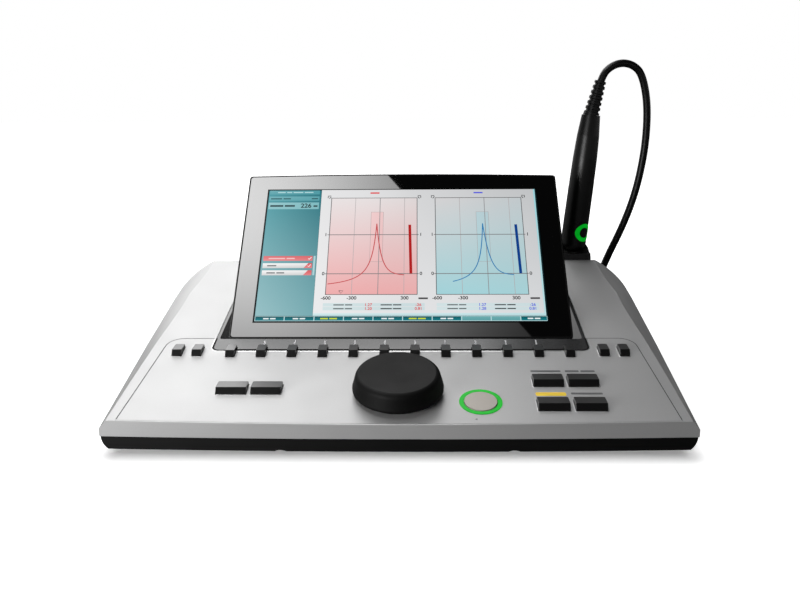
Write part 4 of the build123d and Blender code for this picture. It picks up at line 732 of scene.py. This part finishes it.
# %% The teal list at the left
box(-6, -6, 1607, 908, "#020202", -0.4)
box(0, 0, 1600, 900, "#10262a", 0)
box(4, 4, 319, 866, ["#459aa4", "#16737f", "#98c2c7", "#77acb3"], 1)
box(8, 3, 308, 33, ["#6fb0b7", "#4a9ba5", "#5ba6af", "#4a9ba5"], 2)
box(8, 48, 308, 80, ["#78b6bd", "#5aa5ae", "#66adb5", "#57a3ac"], 2)
box(8, 93, 308, 142, ["#9ccdd2", "#7cbcc2", "#90c6cb", "#83bfc5"], 2)
bars(56, 18, [46, 30, 58, 52], 7, "#b9dfe2", 3)
bars(18, 65, [66, 44], 8, "#24545a", 3)
bars(262, 65, [38], 8, "#24545a", 3)
bars(18, 118, [78, 60], 13, "#2c4a4e", 3)
figures("226", 232, 118, 30, "#12282b", 3)
bars(276, 120, [24], 12, "#2c4a4e", 3)
box(14, 474, 295, 507, ["#e27276", "#dd6468", "#f09598", "#e58084"], 2)
for top in (523, 571):
    box(14, top, 295, top + 33, ["#ffffff", "#f2f2f2", "#dadada", "#cfcfcf"], 2)
    box(247, top, 295, top + 33, ["#d9575b", "#d9575b", "#e98588", "#e98588"], 3, lean=26)
bars(44, 491, [94, 46], 8, "#f8c9ca", 3)
bars(40, 540, [52], 8, "#6f7476", 4)
bars(40, 588, [48, 44], 8, "#6f7476", 4)
for y in (491, 540):
    ribbon([270, 276, 288], [y, y + 7, y - 8], 4, "#ffffff", 5)
box(301, 474, 312, 604, ["#bcdbde", "#a5ced3", "#bcdbde", "#a5ced3"], 2)
print("shapes in the list:", len(shapes))

# %% [markdown]
# A plot has a frame, a pale box for the normal range, grid lines, its curve and a bar. The curve
# is a peak on a low base: left of the peak the height falls as one over the distance, right of
# it it halves again and again.

# %% The two plots
grid_grey, axis_grey, scale_grey, frame_grey = "#b3adae", "#908f91", "#7c7b7d", "#565658"
box(320, 0, 1592, 856, ["#e9e9ea", "#c4c6c8", "#eeeeef", "#dcdee0"], 1)


def plot(shift, fill, norm, curve, bar, first, title):
    """One plot, moved right by a shift; first is where its curve begins."""
    left, mid, right_side, top, bottom = 383 + shift, 672 + shift, 890 + shift, 62, 731
    box(left, top, right_side, bottom, fill, 2)
    box(620 + shift, 165, 694 + shift, 515, norm, 3)
    edge = ["#a9a0a0"] * 4
    across_norm = [(620, 165, 694, 167), (620, 513, 694, 515)]
    down_norm = [(620, 165, 622, 515), (692, 165, 694, 515)]
    for x0, y0, x1, y1 in across_norm + down_norm:
        box(x0 + shift, y0, x1 + shift, y1, edge, 4)
    for x in (526 + shift, 817 + shift):
        box(x - 1.5, top, x + 1.5, bottom, grid_grey, 4)
    box(mid - 2, top, mid + 2, bottom, axis_grey, 4)
    for y in (328, 595):
        box(left - 12, y - 2.5, right_side + 10, y + 2.5, scale_grey, 4)
    for x in (left - 1, right_side + 1):
        box(x - 2, top, x + 2, bottom, frame_grey, 5)
    for y in (top, bottom):
        box(left - 3, y - 2, right_side + 3, y + 2, frame_grey, 5)
    for side, way in ((left - 1, 1), (right_side + 1, -1)):
        ribbon([side - 22 * way, side - 22 * way, side - 4 * way], [62, 46, 46], 5, "#3c3c3e", 6)
        ribbon([side - 4 * way, side - 14 * way], [52, 66], 5, "#3c3c3e", 6)
    peak, thick = 656 + shift, 5.5
    left_foot, left_rise, left_fall = 700, 450, 24.3
    right_foot, right_rise, right_fall = 605, 355, 32
    before = np.linspace(first + shift, peak, 90)
    ribbon(before, left_foot - left_rise / (1 + (peak - before) / left_fall), thick, curve, 7)
    after = np.linspace(peak, 818 + shift, 70)
    ribbon(after, right_foot - right_rise * np.exp(-(after - peak) / right_fall), thick, curve, 7)
    ribbon([848 + shift, 856 + shift], [258, 595], 16, bar, 7)
    for text, y in (("1", 328), ("0", 595)):
        for x in (left - 21, right_side + 22):
            figures(text, x, y, 21, "#141416", 7)
    for text, x in (("-600", left + 2), ("-300", 528 + shift), ("300", 821 + shift)):
        figures(text, x, 754, 21, "#141416", 7)
    bars(right_side + 8, 756, [52], 11, "#4a4a4c", 7)
    bars(636 + shift - 24, 25, [54], 10, title, 7)


red_fill = ["#ece6e6", "#e3dcdc", "#f1aeae", "#efb0b0"]
blue_fill = ["#d9d7d8", "#c6cdd0", "#a4d5dc", "#aad6dc"]
red_norm = ["#f3cfcf", "#efcaca", "#f3c3c3", "#f0c0c0"]
blue_norm = ["#bcd4da", "#b9d0d6", "#b0d6dc", "#aed3da"]
blue_shift = 616
plot(0, red_fill, red_norm, "#c8484c", "#b40d10", 390, "#e23237")
plot(blue_shift, blue_fill, blue_norm, "#2f7fb5", "#0c3f8c", 474, "#5a5fe0")
ribbon([455, 467, 479, 455], [706, 724, 706, 706], 3, "#4a4a4c", 7)
print("shapes with the plots:", len(shapes))

# %% [markdown]
# Under the plots stand two small tables, and along the bottom a strip of ten fields, one above
# each soft key that has a tick. Two of them are pale, as fields out of use are.

# %% Tables and key fields
table_ground = ["#d3e4e6", "#cfe0e3", "#d6e6e8", "#cfe0e3"]
tables = [
    (0, "#e23a3e", ("1.27", "-26", "1.20", "0.81")),
    (626, "#5458dd", ("1.27", "-26", "1.28", "0.81")),
]
for shift, ink_colour, numbers in tables:
    for y, pair in ((797, numbers[:2]), (821, numbers[2:])):
        box(372 + shift, y - 11, 932 + shift, y + 10, table_ground, 2)
        bars(430 + shift, y, [58, 40], 7, "#5d6365", 3, gap=6)
        bars(690 + shift, y, [62, 46], 7, "#3c4042", 3, gap=6)
        figures(pair[0], 622 + shift, y, 17, ink_colour, 3)
        figures(pair[1], 898 + shift, y, 17, ink_colour, 3)
box(320, 848, 1592, 866, ["#dff0f1", "#c8e6ea", "#c2e2e6", "#b4dadf"], 2)
box(1583, 0, 1592, 856, ["#8fd0da", "#a8dde4", "#b4dadf", "#c8eef2"], 3)
pale_field = ["#6fb0b3", "#6fb0b3", "#5ca0a4", "#5ca0a4"]
dark_field = ["#0a4f57", "#0c565e", "#15808a", "#15808a"]
edges = [4, 165, 328, 489, 650, 811, 972, 1132, 1292, 1452, 1596]
for number, (left, right_side) in enumerate(zip(edges[:-1], edges[1:])):
    pale = number in (7, 8)
    box(left, 868, right_side, 898, "#bfe0e3", 1)
    box(left + 3, 870, right_side - 2, 895, pale_field if pale else dark_field, 2)
    if not pale:
        yellow_text = number in (2, 5)
        middle = (left + right_side) / 2
        spread = 46 if yellow_text else 34
        ink_code = "#d3e03a" if yellow_text else "#eef6f6"
        bars(middle - spread, 883, [spread - 4, spread - 4], 8, ink_code, 3, gap=8)
print("fields along the bottom:", len(edges) - 1)

# %% [markdown]
# The picture lies behind clear glass with an anti-glare coat, so its material has a dark, glossy
# skin with a very low specular level and gives light in the colour stored at its points. A real
# panel shines mostly towards the person in front of it, so other rays see a fifth of the light.

# %% Screen picture
picture_points, picture_faces = joined(shapes)
# Coated glass over the picture gives deep blacks and next to no glare.
backlit = blank("liquid crystal picture under coated glass, backlit")
ink = put(backlit, "Attribute", attribute_name="ink").outputs["Color"]
spot = put(backlit, "TexCoord").outputs["Object"]
patch_mm = 60
wide_noise = {"Vector": spot, "Scale": 1 / (patch_mm * MM), "Detail": 0.0}
lamp_patches = put(backlit, "TexNoise", wide_noise)
nearly_even = {"Value": lamp_patches.outputs["Fac"], "To Min": 0.92, "To Max": 0.99}
even = put(backlit, "MapRange", nearly_even)
screen_sockets = {
    "Base Color": tint("#050506"),
    "Roughness": 0.06,
    "Specular IOR Level": 0.03,
    "Emission Color": ink,
    "Emission Strength": camera_share(backlit, even, 0.2),
}
backlit_shader = put(backlit, "BsdfPrincipled", screen_sockets)
put(backlit, "OutputMaterial", {"Surface": backlit_shader.outputs[0]})
turned_back = [face[::-1] for face in picture_faces]
picture = piece("screen_picture", picture_points, turned_back, backlit, "display", smooth=False)
layer_of_ink = picture.data.color_attributes.new("ink", "FLOAT_COLOR", "POINT")
ink_values = np.vstack([shape[2] for shape in shapes]).astype(np.float32)
layer_of_ink.data.foreach_set("color", ink_values.ravel())
print("screen picture:", len(shapes), "flat shapes,", len(picture_points), "points")

# %% [markdown]
# Small marks sit on the keyboard: grey bars over three of the four keys at the right, a yellow
# bar over the fourth with a painted glow, an arrow below the enter button, and a white tick behind
# ten of the soft keys. Screen-printed ink stands about 0.03 mm proud; the marks are drawn 0.06 to
# 0.1 mm proud so that they keep clear of the lacquer.


# %% Printed marks
def plate_bar(left, right_side, low, high, rounding, height=0.06):
    """A flat bar with rounded ends: a quarter circle about each corner's own middle."""
    sides, sunk = 48, -0.02
    angle = np.linspace(0, 2 * pi, sides, endpoint=False)
    half = np.array([(right_side - left) / 2, (high - low) / 2])
    straight = np.maximum(half - rounding, 0)
    arc = np.column_stack([np.cos(angle), np.sin(angle)])
    middle = np.array([(left + right_side) / 2, (low + high) / 2])
    outline = np.sign(arc).round() * straight + rounding * arc + middle
    foot_points = on_keyboard(outline[:, 0], outline[:, 1], sunk)
    top_points = on_keyboard(outline[:, 0], outline[:, 1], height)
    points = np.vstack([foot_points, top_points])
    faces = quads(2, sides, wrap_columns=True).tolist() + [list(range(sides, 2 * sides))]
    return points, faces


# Printed ink is matt and even, with only a trace of the screen's mesh.
grey_ink = grained("grey screen-printed ink", "#727375", 0.5, 0.6, 0.001)
white_ink = grained("white screen-printed ink", "#ffffff", 0.5, 0.6, 0.0001)
# The yellow bar is print given a painted glow, so it is brighter than the other print.
yellow_painted_glow = {"Emission Color": tint("#f0c830"), "Emission Strength": 0.35}
yellow_name = "yellow screen-printed ink with a painted glow"
yellow_ink_painted_glow = grained(yellow_name, "#f0cc30", 0.5, 0.6, 0.001, **yellow_painted_glow)
upper_row, lower_row, grey_rounding = (61.4, 63.6), (33.8, 36.0), 0.8
grey_reaches = [
    (90.9, 111.6, *upper_row),
    (114.6, 124.1, *upper_row),
    (125.3, 135.1, *upper_row),
    (114.2, 135.1, *lower_row),
]
grey_bars = [plate_bar(*reach, grey_rounding) for reach in grey_reaches]
piece("grey_printed_bars", *joined(grey_bars), grey_ink, "console", smooth=False)
yellow = plate_bar(90.9, 111.0, 32.1, 36.3, 1.2)
piece("yellow_printed_bar", *yellow, yellow_ink_painted_glow, "console", smooth=False)
arrow_points = on_keyboard(np.array([49.0, 50.7, 50.7]), np.array([5.8, 4.7, 6.9]), 0.06)
piece("printed_arrow", arrow_points, [[0, 1, 2]], grey_ink, "console", smooth=False)
tick_half, tick_low, tick_high, tick_proud = 0.55, 97.0, 105.2, 0.1
ticks = []
for number in range(2, 12):
    key = keyboard_box(f"soft_key_{number:02d}")
    middle = (key[0] + key[1]) / 2
    reach = (middle - tick_half, middle + tick_half, tick_low, tick_high)
    ticks.append(plate_bar(*reach, 0.2, tick_proud))
piece("white_printed_ticks", *joined(ticks), white_ink, "console", smooth=False)
print("bars:", len(grey_bars) + 1, "ticks:", len(ticks))

# %% [markdown]
# The small and the wide keys stand in cut-outs of the plate whose rim is a tiny step; it catches
# a bright line. The rim is a bead: a half round carried along a rounded rectangle, in a lighter
# colour than the plate that paints that highlight.


# %% Bright rims
def bead(outline, out_way, half_width, height):
    """A half round, swept along a closed outline on the keyboard, from its inner to outer foot."""
    steps = 7
    angle = np.linspace(pi, 0, steps)
    off = half_width * np.cos(angle)
    rise = height * np.sin(angle)
    x = outline[:, None, 0] + off * out_way[:, None, 0]
    y = outline[:, None, 1] + off * out_way[:, None, 1]
    points = on_keyboard(x, y, np.broadcast_to(rise, x.shape)).reshape(-1, 3)
    return points, quads(len(outline), steps, wrap_rows=True).tolist()


def rounded_outline(reach, grow, corner):
    """A rounded rectangle around a key, and the way outwards at each of its points."""
    left, right_side, low, high = reach
    sides = 64
    angle = (np.arange(sides) + 0.5) * 2 * pi / sides
    arc = np.column_stack([np.cos(angle), np.sin(angle)])
    middle = np.array([(left + right_side) / 2, (low + high) / 2])
    half = np.array([(right_side - left) / 2, (high - low) / 2]) + grow - corner
    return np.sign(arc) * half + corner * arc + middle, arc


# Lighter and glossier than the plate: on the rims and along the plate's edge at the bay this colour
# is a painted highlight.
painted_highlight_name = "silver lacquer lightened as a painted edge highlight"
bright = grained(painted_highlight_name, "#d8d8d8", 0.25, 0.8, 0.0001, 0.02, Metallic=0.6)
rim_clearance, rim_corner, rim_half_width, rim_height = 0.55, 0.9, 0.2, 0.12
rims = []
for name in nodes:
    if "_key_" in name and "soft" not in name:
        outline, out_way = rounded_outline(keyboard_box(name), rim_clearance, rim_corner)
        rims.append(bead(outline, out_way, rim_half_width, rim_height))
piece("rims_with_painted_highlight", *joined(rims), bright, "console")
print("rims:", len(rims))

# %% [markdown]
# The liner meets the plate in a narrow gap. A flat matt black band lies in it as painted shade,
# with a light band in front as a painted highlight on the plate's edge. The black band runs along
# the gap, cut where the soft keys cross it, and it is wider along the front, between those keys,
# than round the ends. A thinner grey band paints the shade in the seam between the plate and the
# cover.


# %% Bands beside a line
def band(line_points, near, far, height):
    """A flat band beside a line on the keyboard: it reaches from near to far on the line's left."""
    way = np.gradient(line_points, axis=0)
    way /= np.linalg.norm(way, axis=1, keepdims=True)
    left = np.column_stack([-way[:, 1], way[:, 0]])
    both = np.stack([line_points + left * far, line_points + left * near], axis=1)
    points = on_keyboard(both[..., 0], both[..., 1], height).reshape(-1, 3)
    return points, quads(len(line_points), 2).tolist()


def bent(middle, radius, first, last, count):
    """Points on an arc: its middle plus the radius along angles from first to last, in degrees."""
    angle = np.radians(np.linspace(first, last, count))
    return np.column_stack([np.cos(angle), np.sin(angle)]) * radius + middle


# %% Painted shade in the gap round the bay
bay_front, bay_side, bay_corner = 90.61, 137.15, 5.25
beside_key = 0.2
corner_middle = (bay_corner - bay_side, bay_front + bay_corner)
corner_line = bent(corner_middle, bay_corner, 180, 270, 12)
left_end = np.vstack([[-bay_side, 108.0], [-bay_side, 102.0], corner_line, [-127.0, bay_front]])
# Across the gap: where the painted shade begins, where it ends, and where the painted highlight of
# the plate's edge ends.
end_reach, front_reach = (-0.9, 0.5, 1.15), (-1.9, 0.5, 1.7)
runs = [(left_end[::-1], end_reach), (left_end * [-1, 1], end_reach)]
keys_across = [keyboard_box(f"soft_key_{number:02d}") for number in range(1, 13)]
for before, after in zip(keys_across[:-1], keys_across[1:]):
    stretch = [[after[0] - beside_key, bay_front], [before[1] + beside_key, bay_front]]
    runs.append((np.array(stretch), front_reach))
# Matt black with next to no shine: here it is painted shade in the gap, and it also draws the dark
# edge round the glass.
gap_shade_black_name = "matt black, painted gap shade and dark glass edge"
rubber = grained(gap_shade_black_name, "#050505", 0.7, 0.6, 0.0001, specular=0.1)
gap_shade_height, highlight_height, between = 0.07, 0.05, 0.1
gap_shades = [band(points, near, far, gap_shade_height) for points, (near, far, _) in runs]
piece("bay_gap_painted_shade", *joined(gap_shades), rubber, "console")
# A light band in front of the gap: a painted highlight on the plate's edge.
polished = [band(points, far + between, edge, highlight_height) for points, (_, far, edge) in runs]
piece("bay_edge_painted_highlight", *joined(polished), bright, "console")
print("lengths of painted gap shade:", len(runs))

# %% [markdown]
# The seam's band of painted shade starts near the lip, climbs along the plate's side, turns
# round its rear corner and ends at the bay. The right one is the left one mirrored.

# %% Seam round the plate
plate_corner = bent((-160.77, 96.4), 11.7, 176.2, 90, 14)
plate_start, plate_end = [[-178.6, 5.5], [-175.6, 50.0]], [[-150.0, 108.1], [-138.0, 108.1]]
plate_line = np.vstack([plate_start, plate_corner, plate_end])
# A soft grey band paints the shade in the seam between the plate and the cover.
seam_painted_shade = grained("grey painted shade in the seam", "#4c4c4c", 0.8, 0.6, 0.0001, specular=0.1)
seam_half, seam_height = 0.3, 0.04
both_sides = (plate_line[::-1], plate_line * [-1, 1])
seams = [band(side, -seam_half, seam_half, seam_height) for side in both_sides]
piece("plate_seam_painted_shade", *joined(seams), seam_painted_shade, "console")
print("points along each seam:", len(plate_line))

# %% [markdown]
# Low on the knob's side four rows of tiny domes give the fingertips a grip. The side leans in, so
# the radius falls from 30.4 mm at 4 mm above the plate to 29.7 mm at 7 mm.


# %% Grip dots on the knob
knob_up_slope = 37.0
side_heights, side_radii = [4.0, 7.0], [30.37, 29.72]


def dome_rows(heights, count, dome_radius, dome_height):
    """Small domes on a cone: a tiny cap of rings is copied to every place by adding arrays."""
    rings, sides, sunk = 3, 6, 0.02
    rise = np.linspace(0, pi / 2, rings, endpoint=False)
    spin = np.linspace(0, 2 * pi, sides, endpoint=False)
    level = np.repeat(rise, sides)
    around = np.tile(spin, rings)
    flat_x, flat_y = np.cos(level) * np.cos(around), np.cos(level) * np.sin(around)
    cap = np.vstack([np.column_stack([flat_x, flat_y, np.sin(level)]), [0, 0, 1]])
    cap = cap * [dome_radius, dome_radius, dome_height]
    row = np.repeat(np.arange(len(heights)), count)
    turn = (np.tile(np.arange(count), len(heights)) + 0.5 * (row % 2)) * 2 * pi / count
    high = np.asarray(heights)[row]
    cone = np.interp(high, side_heights, side_radii)
    angle = turn[:, None] + cap[None, :, 0] / cone[:, None]
    radius = cone[:, None] + cap[None, :, 2] - sunk
    up_from_lip = knob_up_slope + radius * np.sin(angle)
    points = on_keyboard(radius * np.cos(angle), up_from_lip, high[:, None] + cap[None, :, 1])
    one = quads(rings, sides, wrap_columns=True).tolist()
    top_ring = (rings - 1) * sides
    one += [[top_ring + i, top_ring + (i + 1) % sides, rings * sides] for i in range(sides)]
    starts = range(0, len(row) * len(cap), len(cap))
    faces = [[corner + start for corner in face] for start in starts for face in one]
    return points.reshape(-1, 3), faces


dot_rows, dots_around, dot_radius, dot_rise = [4.4, 5.2, 6.0, 6.8], 136, 0.3, 0.16
dots = dome_rows(dot_rows, dots_around, dot_radius, dot_rise)
piece("knob_grip_dots", *dots, soft_touch, "knob")
print("faces of the dots:", len(dots[1]))

# %% [markdown]
# A matt black band about a millimetre wide runs round the glass's front, just inside its edge.
# Its outline is read from the glass itself: the front's corner points, sorted by their angle around
# the middle, because the outline bulges outwards everywhere.


# %% Dark edge of the glass
def front_outline(name, inset):
    """The outline of a node's front in the display's measures, moved in along both axes."""
    nearly = 0.02
    spots = places(nodes[name].data) / MM - hinge
    height = spots @ off_display
    front = spots[height > height.max() - nearly]
    flat = np.unique(np.column_stack([front[:, 0], front @ up_display]).round(3), axis=0)
    middle = (flat.min(axis=0) + flat.max(axis=0)) / 2
    away = flat - middle
    away = away[np.argsort(np.arctan2(away[:, 1], away[:, 0]))]
    return middle + away * (1 - inset / np.abs(away).max(axis=0))


edge_height = 0.03
outlines = [front_outline("display_glass", inset) for inset in (0.1, 1.1)]
edge_points = np.vstack([on_glass(line[:, 0], line[:, 1], edge_height) for line in outlines])
edge_faces = quads(2, len(outlines[0]), wrap_columns=True).tolist()
piece("glass_dark_edge", edge_points, edge_faces, rubber, "display", smooth=False)
print("points round the glass:", len(outlines[0]))
